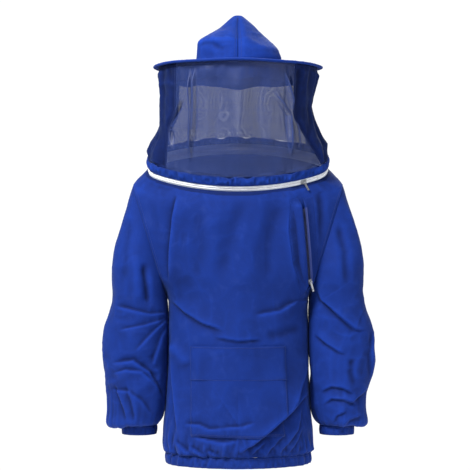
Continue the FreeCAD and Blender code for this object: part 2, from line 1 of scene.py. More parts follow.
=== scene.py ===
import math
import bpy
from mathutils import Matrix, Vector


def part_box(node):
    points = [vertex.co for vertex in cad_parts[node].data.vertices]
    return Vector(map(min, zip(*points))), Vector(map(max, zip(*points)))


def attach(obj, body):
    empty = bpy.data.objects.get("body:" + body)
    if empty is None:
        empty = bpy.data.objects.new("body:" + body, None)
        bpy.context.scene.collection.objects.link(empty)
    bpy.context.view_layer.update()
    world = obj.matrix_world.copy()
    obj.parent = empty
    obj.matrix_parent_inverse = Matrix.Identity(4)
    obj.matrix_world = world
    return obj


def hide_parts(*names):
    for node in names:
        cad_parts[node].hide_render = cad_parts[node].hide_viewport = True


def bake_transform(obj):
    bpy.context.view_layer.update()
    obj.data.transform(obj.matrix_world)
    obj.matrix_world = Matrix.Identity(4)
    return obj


bl_info = {
    "name": "Beekeeping Jacket",
    "version": (1, 0, 0),
    "blender": (4, 5, 0),
    "location": "3D View > Sidebar > Jacket",
    "description": "Builds a veiled beekeeping jacket in cloth, net and zip around its CAD frame",
    "category": "Add Mesh",
}

import bpy
import numpy as np
from mathutils import Vector

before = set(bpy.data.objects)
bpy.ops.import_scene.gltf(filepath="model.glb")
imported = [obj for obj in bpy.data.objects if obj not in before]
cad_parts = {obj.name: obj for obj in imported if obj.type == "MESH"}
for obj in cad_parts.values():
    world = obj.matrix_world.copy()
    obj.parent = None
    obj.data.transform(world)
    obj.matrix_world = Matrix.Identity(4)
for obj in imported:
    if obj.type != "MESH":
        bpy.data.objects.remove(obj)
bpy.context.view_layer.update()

# ------------------------------------------------------------------ shape values, metres
ARC = math.radians(40)          # half the turn of the flat arcs of every oval section
CLOTH = 0.0012                  # shown thickness of the jacket's cloth
STITCH_LIFT = 0.0003            # topstitching above the cloth

NECK_TILT = math.radians(25)
NECK_WIDE = 0.219
NECK_DEEP = 0.127
NECK_Z = NECK_DEEP * math.sin(NECK_TILT)
HEM_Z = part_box("waist_casing")[0][2]
HEM_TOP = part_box("waist_casing")[1][2]
BRIM_Z = 0.299
BRIM_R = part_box("brim_binding")[1][0]
CROWN_FOOT_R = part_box("crown_panel_front_left")[1][0]
UNDERARM = np.array([0.176, -0.250])
SHOULDER = np.array([0.256, 0.010])
SLEEVE_TOP = np.array([0.300, -0.140])
CUFF_X = 0.242
CUFF_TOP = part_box("left_cuff_casing")[1][2]
CUFF_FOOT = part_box("left_cuff_casing")[0][2]

# Torso sections from hem to neck: side z, half width, half depth, tilt in degrees
TORSO = [
    (HEM_TOP, 0.176, 0.126, 0.0),
    (-0.615, 0.180, 0.138, 0.0),
    (-0.590, 0.181, 0.142, 0.0),
    (-0.540, 0.178, 0.141, 0.0),
    (-0.470, 0.173, 0.138, 0.0),
    (-0.350, 0.172, 0.134, 0.0),
    (-0.250, 0.176, 0.130, 0.0),
    (-0.200, 0.216, 0.131, 0.0),
    (-0.130, 0.258, 0.132, 0.0),
    (-0.060, 0.272, 0.133, 5.0),
    (-0.010, 0.268, 0.133, 12.0),
    (0.024, 0.247, 0.131, 18.5),
    (0.0478, 0.2206, 0.1286, 25.0),
]
# Veil sections from the neck band to the brim: centre y, centre z, half width, half depth, tilt
VEIL = [
    (-0.0127, 0.0809, 0.2206, 0.1286, 25.0),
    (-0.0140, 0.1050, 0.2100, 0.1320, 22.5),
    (-0.0135, 0.1400, 0.1970, 0.1430, 17.0),
    (-0.0120, 0.1800, 0.1890, 0.1580, 11.0),
    (-0.0070, 0.2300, 0.1880, 0.1760, 5.0),
    (0.0, 0.2968, 0.1950, 0.1950, 0.0),
]


# ------------------------------------------------------------------ numbers and noise
def smooth(x):
    x = np.clip(x, 0.0, 1.0)
    return x * x * (3.0 - 2.0 * x)


def spline(keys, values, x):
    """Smooth curve through values at keys, read at x. Values may be vectors."""
    keys = np.asarray(keys, float)
    values = np.asarray(values, float)
    i = np.clip(np.searchsorted(keys, x) - 1, 0, len(keys) - 2)
    slope = np.gradient(values, keys, axis=0)
    h = keys[i + 1] - keys[i]
    t = np.clip((x - keys[i]) / h, 0.0, 1.0)
    if values.ndim > 1:
        t = t[..., None]
        h = h[..., None]
    a = (1 + 2 * t) * (1 - t) ** 2
    b = t * (1 - t) ** 2 * h
    c = t * t * (3 - 2 * t)
    d = -t * t * (1 - t) * h
    return a * values[i] + b * slope[i] + c * values[i + 1] + d * slope[i + 1]


def lattice(ix, iy, iz, seed):
    h = (ix * 374761393 + iy * 668265263 + iz * 2147483647 + seed * 144269) & 0xFFFFFFFF
    h = ((h ^ (h >> 13)) * 1274126177) & 0xFFFFFFFF
    return ((h ^ (h >> 16)) & 0xFFFF) / 32767.5 - 1.0


def noise(p, size, seed=0):
    """Smooth noise from -1 to 1 over points p, with lumps of the given size (a number or xyz)."""
    q = p / np.asarray(size, float)
    base = np.floor(q).astype(np.int64)
    f = q - base
    f = f * f * (3 - 2 * f)
    out = 0.0
    for dx in (0, 1):
        for dy in (0, 1):
            for dz in (0, 1):
                w = np.abs(1 - dx - f[..., 0]) * np.abs(1 - dy - f[..., 1]) * np.abs(1 - dz - f[..., 2])
                out = out + w * lattice(base[..., 0] + dx, base[..., 1] + dy, base[..., 2] + dz, seed)
    return out


def crumple(p, size, seed=0):
    """Sharp-edged cloth creases, about -1 to 1, from warped ridged noise."""
    size = np.asarray(size, float)
    warp = np.stack([noise(p, size * 1.7, seed + k) for k in (1, 2, 3)], -1)
    q = p + warp * size * 0.45
    ridge = 1.0 - 2.2 * np.abs(noise(q, size, seed + 4))
    fine = 1.0 - 2.2 * np.abs(noise(q, size * 0.47, seed + 5))
    return 0.7 * ridge + 0.3 * fine


# ------------------------------------------------------------------ ovals and grids
def oval_radii(a, b):
    s, c = math.sin(ARC), math.cos(ARC)
    det = s + c - 1
    return (a * c - b * (1 - s)) / det, (b * s - a * (1 - c)) / det


def oval(a, b, run):
    """Points of the oval at run: 0 front centre, 1 the +X side, 2 back centre, 3 the -X side."""
    big, small = oval_radii(a, b)
    quarter = big * ARC + small * (math.pi / 2 - ARC)
    run = np.asarray(run, float) % 4.0
    left = np.where(run > 2.0, 4.0 - run, run)
    front = np.where(left > 1.0, 2.0 - left, left)
    s = front * quarter
    flat = s <= big * ARC
    turn = np.where(flat, s / big, ARC + (s - big * ARC) / small)
    x = np.where(flat, big * np.sin(turn), a - small + small * np.sin(turn))
    y = np.where(flat, big - b - big * np.cos(turn), -small * np.cos(turn))
    x = np.where(run > 2.0, -x, x)
    y = np.where(left > 1.0, -y, y)
    return x, y


def ring_points(run, n, grow=0.0):
    """Points beside the neck zip's line: n along the ring's own axis, grow outward."""
    x, v = oval(NECK_WIDE + grow, NECK_DEEP + grow, run)
    s, c = math.sin(NECK_TILT), math.cos(NECK_TILT)
    return np.stack([x, v * c - n * s, NECK_Z + v * s + n * c], -1)


def tilted(x, v, cy, cz, tilt):
    t = np.radians(tilt)
    return np.stack([x, cy + v * np.cos(t), cz + v * np.sin(t)], -1)


def normals(p, wrap=False):
    """Unit normals of a grid of points, rows upward and columns to the side."""
    if wrap:
        du = np.roll(p, -1, 1) - np.roll(p, 1, 1)
    else:
        du = np.gradient(p, axis=1)
    dv = np.gradient(p, axis=0)
    n = np.cross(du, dv)
    return n / np.maximum(np.linalg.norm(n, axis=-1, keepdims=True), 1e-12)


def running_mean(p, reach, axis, wrap):
    pad = [(0, 0)] * p.ndim
    pad[axis] = (reach, reach)
    q = np.pad(p, pad, mode="wrap" if wrap else "edge")
    total = np.cumsum(q, axis=axis)
    total = np.concatenate([np.zeros_like(np.take(total, [0], axis)), total], axis)
    size = 2 * reach + 1
    count = p.shape[axis]
    hi = np.take(total, range(size, size + count), axis)
    lo = np.take(total, range(0, count), axis)
    return (hi - lo) / size


def hollows(p, wrap):
    """How far each point lies below (plus) or above (minus) the cloth round it, -1 to 1."""
    n = normals(p, wrap)
    out = np.zeros(p.shape[:-1])
    for reach, size in ((2, 0.0009), (6, 0.0035)):
        rows = min(reach, p.shape[0] // 3)
        soft = running_mean(running_mean(p, reach, 1, wrap), rows, 0, False)
        out += 0.5 * np.tanh(((soft - p) * n).sum(-1) / size)
    border = np.minimum(np.arange(p.shape[0]), np.arange(p.shape[0])[::-1])[:, None] / 5.0
    return out * smooth(border)


def grid_mesh(name, p, wrap=False, flip=False):
    """A mesh from a grid of points, with a UV map in metres and the depth of its folds."""
    rows, cols = p.shape[:2]
    depth = hollows(p, wrap).ravel() * (-1 if flip else 1)
    idx = np.arange(rows * cols).reshape(rows, cols)
    closed = np.concatenate([p, p[:, :1]], 1) if wrap else p
    across = np.linalg.norm(np.diff(closed, axis=1), axis=2).mean(0)
    along = np.linalg.norm(np.diff(p, axis=0), axis=2).mean(1)
    u = np.concatenate([[0.0], np.cumsum(across)])
    v = np.concatenate([[0.0], np.cumsum(along)])
    following = np.roll(idx, -1, 1) if wrap else idx[:, 1:]
    current = idx if wrap else idx[:, :-1]
    quad = np.stack([current[:-1], following[:-1], following[1:], current[1:]], -1).reshape(-1, 4)
    k = np.arange(quad.shape[0])
    width = current.shape[1]
    col, row = k % width, k // width
    uv = np.stack([np.stack([u[col], v[row]], -1), np.stack([u[col + 1], v[row]], -1),
                   np.stack([u[col + 1], v[row + 1]], -1), np.stack([u[col], v[row + 1]], -1)], 1)
    if flip:
        quad = quad[:, ::-1]
        uv = uv[:, ::-1]
    return quads_to_object(name, p.reshape(-1, 3), quad, uv.reshape(-1, 2), depth)


def quads_to_object(name, verts, quads, uv, depth):
    mesh = bpy.data.meshes.new(name)
    mesh.vertices.add(len(verts))
    mesh.vertices.foreach_set("co", verts.astype(np.float32).ravel())
    mesh.loops.add(quads.size)
    mesh.loops.foreach_set("vertex_index", quads.astype(np.int32).ravel())
    mesh.polygons.add(len(quads))
    mesh.polygons.foreach_set("loop_start", np.arange(0, quads.size, 4, dtype=np.int32))
    mesh.update(calc_edges=True)
    layer = mesh.uv_layers.new(name="cloth")
    layer.data.foreach_set("uv", uv.astype(np.float32).ravel())
    # fold depth, which the cloth material turns into painted shade in hollows and a painted highlight on
    # ridges
    hollow = mesh.attributes.new("hollow", "FLOAT", "POINT")
    hollow.data.foreach_set("value", depth.astype(np.float32))
    mesh.shade_smooth()
    obj = bpy.data.objects.new(name, mesh)
    bpy.context.scene.collection.objects.link(obj)
    return obj


def apply_modifiers(obj):
    """Turns the object's modifiers into plain mesh."""
    graph = bpy.context.evaluated_depsgraph_get()
    graph.update()
    mesh = bpy.data.meshes.new_from_object(obj.evaluated_get(graph), depsgraph=graph)
    obj.modifiers.clear()
    old = obj.data
    obj.data = mesh
    bpy.data.meshes.remove(old)
    mesh.shade_smooth()
    return obj


def thicken(obj, wall, offset=-1.0):
    solid = obj.modifiers.new("wall", "SOLIDIFY")
    solid.thickness = wall
    solid.offset = offset
    solid.use_even_offset = False
    return apply_modifiers(obj)


# ------------------------------------------------------------------ folds
def line_distance(p, line):
    """Signed distance in x and z from points to a line of (x, z) in mm, and the share along it."""
    q = p[..., [0, 2]]
    line = np.asarray(line, float) / 1000
    best = np.full(q.shape[:-1], 9.0)
    side = np.ones_like(best)
    share = np.zeros_like(best)
    step = np.diff(line, axis=0)
    length = np.linalg.norm(step, axis=1)
    walked = 0.0
    for a, d, l in zip(line[:-1], step, length):
        t = np.clip(((q - a) @ d) / (l * l), 0, 1)
        off = q - a - t[..., None] * d
        dist = np.linalg.norm(off, axis=-1)
        turn = d[0] * off[..., 1] - d[1] * off[..., 0]
        near = dist < best
        side = np.where(near, np.where(turn < 0, -1.0, 1.0), side)
        share = np.where(near, (walked + t * l) / length.sum(), share)
        best = np.where(near, dist, best)
        walked += l
    return best * side, share


def fold_field(p, folds, facing):
    """Height in metres of listed folds: (kind, width mm, height mm, line of (x, z) in mm)."""
    out = np.zeros(p.shape[:-1])
    for kind, width, height, line in folds:
        d, share = line_distance(p, line)
        taper = smooth(share / 0.25) * smooth((1 - share) / 0.25)
        w = width / 1000
        if kind == "ridge":
            shape = np.exp(-(d / w) ** 2)
        elif kind == "edge":
            # a standing side on the left of the line that drops off sharply to its right
            shape = np.where(d > 0, np.exp(-d / (2.2 * w)), -0.7 * np.exp(d / w))
            shape = shape * np.tanh(np.abs(d) / 0.0025 + 0.05)
        out += height / 1000 * taper * shape
    return out * smooth((facing - 0.1) / 0.5)


FRONT_FOLDS = [
    # the blousing front that hangs over the gathered hem, and the fold that joins it
    ("edge", 22, 17.0, [(-6, -629), (32, -609), (72, -578), (129, -531), (150, -512), (182, -486)]),
    ("edge", 13, 11.0, [(120, -540), (138, -505), (158, -460), (174, -415), (180, -380)]),
    ("edge", 9, 6.0, [(90, -640), (118, -610), (146, -574), (160, -520)]),
    ("edge", 8, 6.0, [(60, -644), (84, -612), (116, -580)]),
    ("edge", 7, 5.0, [(112, -644), (138, -612), (160, -570)]),
    ("edge", 6, 5.0, [(28, -646), (44, -622), (70, -600)]),
    # creases across the foot of the pocket and down to the hem
    ("edge", 8, 5.5, [(-30, -566), (-66, -570), (-90, -560), (-128, -561)]),
    ("edge", 8, 4.5, [(40, -552), (10, -562), (-42, -566)]),
    ("edge", 9, 6.5, [(6, -594), (-34, -600), (-60, -597), (-112, -588)]),
    ("edge", 8, 6.0, [(-60, -648), (-88, -628), (-116, -612)]),
    ("edge", 7, 5.0, [(-30, -646), (-52, -630), (-74, -618)]),
    ("edge", 7, 5.0, [(-96, -648), (-124, -622), (-150, -600)]),
    # the sides of the body
    ("edge", 16, 9.0, [(-164, -330), (-160, -430), (-150, -520), (-142, -600)]),
    ("edge", 15, 6.0, [(-168, -262), (-130, -296), (-84, -322), (-30, -338)]),
    ("ridge", 14, 5.0, [(-165, -372), (-140, -392), (-118, -424)]),
    ("ridge", 14, -4.5, [(160, -330), (110, -345), (60, -352)]),
    ("edge", 14, 5.0, [(150, -262), (100, -290), (36, -300)]),
    # the chest
    ("edge", 20, 12.0, [(-146, -8), (-158, -70), (-165, -150), (-168, -235)]),
    ("edge", 17, 9.0, [(176, -300), (162, -250), (132, -181), (122, -100), (126, -40)]),
    ("ridge", 11, -7.0, [(197, 4), (203, -80), (206, -160)]),
    ("ridge", 20, -6.0, [(17, -14), (-12, -100), (-32, -180), (-40, -225)]),
    ("ridge", 22, 5.5, [(62, -20), (36, -130), (20, -250)]),
    ("ridge", 18, -4.5, [(96, -30), (76, -130), (66, -230)]),
    ("ridge", 18, -4.0, [(-96, -40), (-92, -140), (-104, -240)]),
    ("ridge", 24, 5.0, [(-60, -30), (-66, -150), (-72, -260)]),
    ("edge", 9, 3.5, [(-60, -352), (0, -362), (60, -358)]),
]
BACK_FOLDS = [
    ("ridge", 30, 5.0, [(-150, -120), (-60, -160), (60, -160), (150, -120)]),
    ("ridge", 24, -5.0, [(-160, -180), (-60, -225), (60, -225), (160, -180)]),
    ("ridge", 28, 6.0, [(-90, -40), (-70, -250), (-95, -450)]),
    ("ridge", 24, -5.0, [(-50, -60), (-35, -260), (-50, -480)]),
    ("ridge", 28, 6.0, [(70, -60), (60, -260), (85, -470)]),
    ("ridge", 22, -5.0, [(110, -80), (105, -260), (130, -450)]),
    ("edge", 26, 12.0, [(175, -560), (60, -600), (-60, -604), (-175, -560)]),
]


# ------------------------------------------------------------------ torso
SECTION_KEYS = np.concatenate([[0.0], np.cumsum([
    math.hypot(b[0] - a[0], b[1] - a[1]) for a, b in zip(TORSO[:-1], TORSO[1:])])])
SECTION_KEYS = SECTION_KEYS / SECTION_KEYS[-1]


def torso_shape(run, t):
    sec = spline(SECTION_KEYS, np.array(TORSO), t)
    x, v = oval(sec[..., 1], sec[..., 2], run)
    shift = 0.0027 * smooth(sec[..., 0] / 0.0478)
    return tilted(x, v, shift, sec[..., 0], sec[..., 3])


def beyond_armhole(p):
    d = SHOULDER - UNDERARM
    d = d / np.linalg.norm(d)
    return (np.abs(p[..., 0]) - UNDERARM[0]) * d[1] - (p[..., 2] - UNDERARM[1]) * d[0]


def armhole_run(t, back):
    """How far round from the centre line each row goes before it meets the armhole."""
    lo, hi = np.full(t.shape, 0.45), np.ones(t.shape)
    sign = 2.0 if back else 0.0
    low = spline(SECTION_KEYS, np.array(TORSO), t)[..., 0] < UNDERARM[1]
    full = (beyond_armhole(torso_shape(np.abs(sign - hi), t)) <= 0) | low
    for _ in range(26):
        mid = 0.5 * (lo + hi)
        out = beyond_armhole(torso_shape(np.abs(sign - mid), t)) > 0
        hi = np.where(out, mid, hi)
        lo = np.where(out, lo, mid)
    return np.where(full, 1.0, 0.5 * (lo + hi))


def side_zip_line(n=60):
    a, b, c = (np.array(q) for q in ((0.156, -0.045), (0.165, -0.140), (0.172, -0.225)))
    t = np.linspace(0, 1, n)[:, None]
    return (1 - t) ** 2 * a + 2 * t * (1 - t) * (2 * b - 0.5 * (a + c)) + t * t * c


def hem_wave(p):
    """Irregular gathers that the torso cloth and the hem casing share."""
    leaning = p[..., 0] + 0.25 * p[..., 2] * np.sign(p[..., 0] + 1e-9)
    line = np.stack([leaning, p[..., 1], p[..., 2] * 0.10], -1)
    return 0.62 * noise(line, 0.0125, 31) + 0.38 * noise(line, 0.0068, 32)


def hem_gathers(p):
    return 0.0052 * hem_wave(p)


def torso_height(p, run, t, back):
    """How far the cloth stands off its pattern shape, over a grid of points."""
    n = normals(p)
    facing = n[..., 1] if back else -n[..., 1]
    z = p[..., 2]
    off_hem = z - HEM_TOP
    soft = 0.0050 * noise(p, (0.10, 0.2, 0.22), 11) + 0.0032 * noise(p, (0.045, 0.1, 0.11), 12)
    crease = 0.0019 * crumple(p, (0.060, 0.08, 0.085), 21)
    folds = fold_field(p, BACK_FOLDS if back else FRONT_FOLDS, facing)
    # gathers that rise from the elastic hem and die out
    gather = hem_wave(p)
    rise = np.exp(-off_hem / (0.040 + 0.030 * noise(p * [1, 1, 0], 0.05, 33)))
    height = soft + crease + folds + 0.0100 * gather * rise + 0.005 * rise
    # small puckers under the neck seam
    off_neck = (1 - t) * 0.75
    pucker = noise(np.stack([p[..., 0], p[..., 1], p[..., 2] * 0.2], -1), 0.011, 41)
    height += 0.0026 * pucker * np.exp(-off_neck / 0.030)
    edge = np.abs(beyond_armhole(p))
    in_arm = z > UNDERARM[1] - 0.02
    hold = smooth(off_neck / 0.03) * smooth(off_hem / 0.010)
    hold = hold * np.where(in_arm, smooth(edge / 0.035), 1.0)
    seam = np.where(np.abs(run) > 0.5, smooth((1 - np.abs(np.where(back, 2 - run, run))) / 0.05), 1.0)
    height = height * hold * (0.25 + 0.75 * seam)
    height += hem_gathers(p) * (1 - smooth(off_hem / 0.012)) + 0.0008 * smooth(off_hem / 0.006)
    if not back:
        d, _ = line_distance(p, side_zip_line()[::6] * 1000)
        keep = smooth((np.abs(d) - 0.012) / 0.03)
        height = np.where(p[..., 0] > 0, height * keep - 0.0015 * (1 - keep), height)
    return height


def torso_grid(rows, cols, back):
    t = np.linspace(0, 1, rows)
    reach = armhole_run(t, back)
    s = np.linspace(-1, 1, cols)
    run = reach[:, None] * s[None, :]
    tt = np.broadcast_to(t[:, None], run.shape)
    around = 2.0 + run if back else run
    p = torso_shape(around, tt)
    n = normals(p)
    return p + n * torso_height(p, around, tt, back)[..., None], t, reach


# ------------------------------------------------------------------ sleeves
SLEEVE = [
    # half width, half depth, centre x, z
    (0.0690, 0.073, 0.2420, -0.275),
    (0.0790, 0.073, 0.2480, -0.345),
    (0.0800, 0.073, 0.2500, -0.405),
    (0.0750, 0.070, 0.2470, -0.480),
    (0.0690, 0.065, 0.2460, -0.535),
    (0.058, 0.058, 0.247, -0.562),
    (0.0430, 0.0430, CUFF_X, CUFF_TOP + 0.001),
]
LEFT_SLEEVE_FOLDS = [
    ("edge", 12, 10.0, [(189, -238), (200, -268), (245, -308), (282, -338), (312, -342)]),
    ("edge", 10, 8.0, [(182, -346), (208, -370), (243, -392), (262, -398)]),
    ("edge", 10, 9.0, [(196, -494), (210, -484), (226, -475), (250, -478), (278, -493)]),
    ("edge", 9, 8.0, [(200, -524), (226, -505), (252, -506), (290, -520)]),
    ("edge", 8, 6.0, [(262, -520), (296, -500), (326, -478)]),
    ("ridge", 13, 6.0, [(262, -20), (292, -110), (312, -220)]),
    ("ridge", 12, -7.0, [(236, -70), (258, -150), (262, -240)]),
    ("edge", 10, 7.0, [(326, -330), (318, -400), (322, -470)]),
    ("ridge", 10, -6.0, [(278, -400), (270, -440), (280, -480)]),
    ("edge", 8, 7.0, [(228, -560), (238, -542), (262, -530)]),
    ("edge", 8, 7.0, [(250, -566), (268, -548), (300, -540)]),
]
RIGHT_SLEEVE_FOLDS = [
    ("edge", 11, 10.0, [(-168, -298), (-213, -300), (-262, -288), (-299, -281)]),
    ("edge", 9, 8.0, [(-166, -306), (-196, -332), (-222, -360), (-250, -392)]),
    ("edge", 9, 8.0, [(-170, -316), (-188, -352), (-200, -398), (-206, -430)]),
    ("edge", 9, 7.0, [(-172, -310), (-226, -326), (-290, -340)]),
    ("edge", 11, 11.0, [(-190, -480), (-212, -440), (-252, -412), (-309, -420)]),
    ("edge", 10, 10.0, [(-180, -515), (-198, -470), (-232, -438), (-270, -434), (-309, -446)]),
    ("edge", 9, 8.0, [(-206, -548), (-232, -508), (-262, -486), (-312, -484)]),
    ("ridge", 9, -9.0, [(-226, -172), (-221, -230), (-217, -285)]),
    ("ridge", 12, 6.0, [(-246, -150), (-242, -230), (-240, -280)]),
    ("ridge", 13, -5.0, [(-262, -60), (-274, -150), (-280, -240)]),
    ("edge", 9, 8.0, [(-300, -470), (-284, -510), (-266, -552)]),
    ("edge", 8, 7.0, [(-270, -470), (-256, -510), (-246, -556)]),
]


def armhole_loop(side, cols):
    """The sewn edge of the front and back panels, by angle: 0 at the shoulder, then the front."""
    t = np.linspace(0, 1, 900)
    points = []
    for back in (False, True):
        reach = armhole_run(t, back)
        inside = reach < 1.0
        p = torso_shape(np.where(back, 2.0 - reach, reach), t)[inside]
        points.append(p)
    p = np.concatenate(points)
    d = (SHOULDER - UNDERARM) / np.linalg.norm(SHOULDER - UNDERARM)
    mid = 0.5 * (SHOULDER + UNDERARM)
    along = (p[:, 0] - mid[0]) * d[0] + (p[:, 2] - mid[1]) * d[1]
    angle = np.arctan2(-p[:, 1] / 0.10, along / 0.136) % (2 * math.pi)
    order = np.argsort(angle)
    angle, p = angle[order], p[order]
    angle = np.concatenate([angle[-40:] - 2 * math.pi, angle, angle[:40] + 2 * math.pi])
    p = np.concatenate([p[-40:], p, p[:40]])
    a = np.linspace(0, 2 * math.pi, cols, endpoint=False)
    loop = np.stack([np.interp(a, angle, p[:, k]) for k in range(3)], -1)
    loop[:, 0] *= side
    return loop, a


def sleeve_grid(side, rows, cols):
    loop, a = armhole_loop(side, cols)
    rings = [loop]
    mid = 0.5 * (UNDERARM + SLEEVE_TOP)
    out = (SLEEVE_TOP - UNDERARM) * 0.5
    top_x, top_z = (mid[k] + out[k] * np.cos(a) for k in (0, 1))
    rings.append(np.stack([side * top_x, -0.085 * np.sin(a), top_z], -1))
    for w, d, x, z in SLEEVE:
        rings.append(np.stack([side * (x + w * np.cos(a)), -d * np.sin(a), np.full_like(a, z)], -1))
    rings = np.array(rings)
    gap = np.linalg.norm(np.diff(rings, axis=0), axis=2).mean(1)
    keys = np.concatenate([[0.0], np.cumsum(gap)])
    length = keys[-1]
    s = np.linspace(0, 1, rows)
    flat = spline(keys / length, rings.reshape(len(rings), -1), s)
    p = flat.reshape(rows, cols, 3)
    n = normals(p, wrap=True)
    centre = p.mean(1, keepdims=True)
    flip = ((p - centre) * n).sum(-1).mean() < 0
    if flip:
        n = -n
    front = -n[..., 1]
    folds = LEFT_SLEEVE_FOLDS if side > 0 else RIGHT_SLEEVE_FOLDS
    height = fold_field(p, folds, front)
    mirrored = [(kind, w, h * 0.8, [(x, z - 25) for x, z in line]) for kind, w, h, line in folds]
    height += fold_field(p, mirrored, -front)
    down = s[:, None] * length
    off_cuff = length - down
    drape = smooth((down - 0.05) / 0.15)
    height += 0.0065 * noise(p, (0.075, 0.09, 0.085), 51 + side) * (0.4 + 0.6 * drape)
    height += 0.0030 * crumple(p, (0.055, 0.06, 0.050), 61 + side) * (0.35 + 0.65 * drape)
    # gathers that rise from the cuff
    ring = np.stack([np.cos(a)[None, :] * 0.07, np.sin(a)[None, :] * 0.07, 0 * a[None, :]], -1)
    ring = np.broadcast_to(ring, p.shape) + np.stack([0 * p[..., 0], 0 * p[..., 0], p[..., 2] * 0.12], -1)
    gather = 0.65 * noise(ring, 0.0145, 71 + side) + 0.35 * noise(ring, 0.008, 72 + side)
    rise = np.exp(-off_cuff / 0.045)
    height += 0.0130 * gather * rise * smooth(off_cuff / 0.01 + 0.25)
    # the fullness that hangs over the cuff, deepest on the outside
    hang = np.exp(-((off_cuff - 0.028) / 0.018) ** 2) * (0.5 + 0.5 * np.cos(a))[None, :]
    height += 0.008 * hang
    hold = smooth(down / 0.03) * smooth(off_cuff / 0.012)
    height = height * hold + 0.0009 * (1 - np.exp(-down / 0.004))
    # the inner side keeps clear of the torso
    inner = (0.5 - 0.5 * np.cos(a))[None, :]
    height = np.where(height > 0, height * (1 - 0.65 * inner), height)
    q = p + n * height[..., None]
    q[..., 2] -= 0.012 * hang
    return rest_on_torso(q, side), flip


def rest_on_torso(q, side):
    """Keeps the sleeve's inner side lying against the outside of the torso cloth."""
    cell = 0.005
    y0, z0 = -0.11, -0.63
    table = np.full((78, 44), -1.0)
    for name in ("front_body", "back_body"):
        co = np.array([v.co for v in bpy.data.objects[name].data.vertices])
        iy = np.floor((co[:, 1] - y0) / cell).astype(int)
        iz = np.floor((co[:, 2] - z0) / cell).astype(int)
        ok = (side * co[:, 0] > 0.10) & (iy >= 0) & (iy < 44) & (iz >= 0) & (iz < 78)
        np.maximum.at(table, (iz[ok], iy[ok]), side * co[ok, 0])
    wide = np.pad(table, 1, mode="edge")
    table = np.max([wide[i:i + 78, j:j + 44] for i in range(3) for j in range(3)], axis=0)
    u = np.clip((q[..., 1] - y0) / cell - 0.5, 0, 42.999)
    v = np.clip((q[..., 2] - z0) / cell - 0.5, 0, 76.999)
    iu, iv = u.astype(int), v.astype(int)
    fu, fv = u - iu, v - iv
    limit = ((table[iv, iu] * (1 - fu) + table[iv, iu + 1] * fu) * (1 - fv)
             + (table[iv + 1, iu] * (1 - fu) + table[iv + 1, iu + 1] * fu) * fv) + 0.0012
    if side > 0:
        limit = limit + 0.0060 * np.exp(-((q[..., 2] + 0.445) / 0.022) ** 2)
    free = (q[..., 2] > -0.268) | (np.abs(q[..., 1]) > 0.105) | (q[..., 2] < -0.622)
    q[..., 0] = np.where(free, q[..., 0], side * np.maximum(side * q[..., 0], limit))
    return q


# ------------------------------------------------------------------ node helpers
def new_node(tree, kind, inputs=None, **settings):
    node = tree.nodes.new(kind)
    for key, value in settings.items():
        setattr(node, key, value)
    for key, value in (inputs or {}).items():
        socket = node.inputs[key]
        if isinstance(value, bpy.types.NodeSocket):
            tree.links.new(value, socket)
        else:
            socket.default_value = value
    return node


def maths(tree, operation, *values):
    return new_node(tree, "ShaderNodeMath", dict(enumerate(values)), operation=operation).outputs[0]


def spread(tree, value, low, high, from_low=0.0, from_high=1.0):
    """Carries a value from one range to another."""
    return new_node(tree, "ShaderNodeMapRange", {"Value": value, "From Min": from_low, "From Max": from_high,
                                                 "To Min": low, "To Max": high}).outputs[0]


def cloudy(tree, vector, scale, detail, distortion=0.0):
    return new_node(tree, "ShaderNodeTexNoise", {"Vector": vector, "Scale": scale, "Detail": detail,
                                                 "Distortion": distortion}).outputs["Fac"]


def two_tone(tree, factor, low, high):
    return new_node(tree, "ShaderNodeMix", {"Factor": factor, 6: low, 7: high}, data_type="RGBA").outputs[2]


def darker(colour, share):
    return (*[share * c for c in colour], 1)


def relief(tree, height, strength, distance):
    return new_node(tree, "ShaderNodeBump", {"Height": height, "Strength": strength,
                                             "Distance": distance}).outputs[0]


def object_place(tree):
    return new_node(tree, "ShaderNodeTexCoord").outputs["Object"]


def stored(tree, name):
    return new_node(tree, "ShaderNodeAttribute", attribute_name=name).outputs["Fac"]


def feed(tree, bsdf, colour, rough, normal=None):
    tree.links.new(colour, bsdf.inputs["Base Color"])
    tree.links.new(rough, bsdf.inputs["Roughness"])
    if normal:
        tree.links.new(normal, bsdf.inputs["Normal"])


def shader_group(name, inputs, outputs):
    group = bpy.data.node_groups.new(name, "ShaderNodeTree")
    for label, kind, value in inputs:
        socket = group.interface.new_socket(label, in_out="INPUT", socket_type=kind)
        socket.default_value = value
    for label, kind in outputs:
        group.interface.new_socket(label, in_out="OUTPUT", socket_type=kind)
    return group, group.nodes.new("NodeGroupInput"), group.nodes.new("NodeGroupOutput")


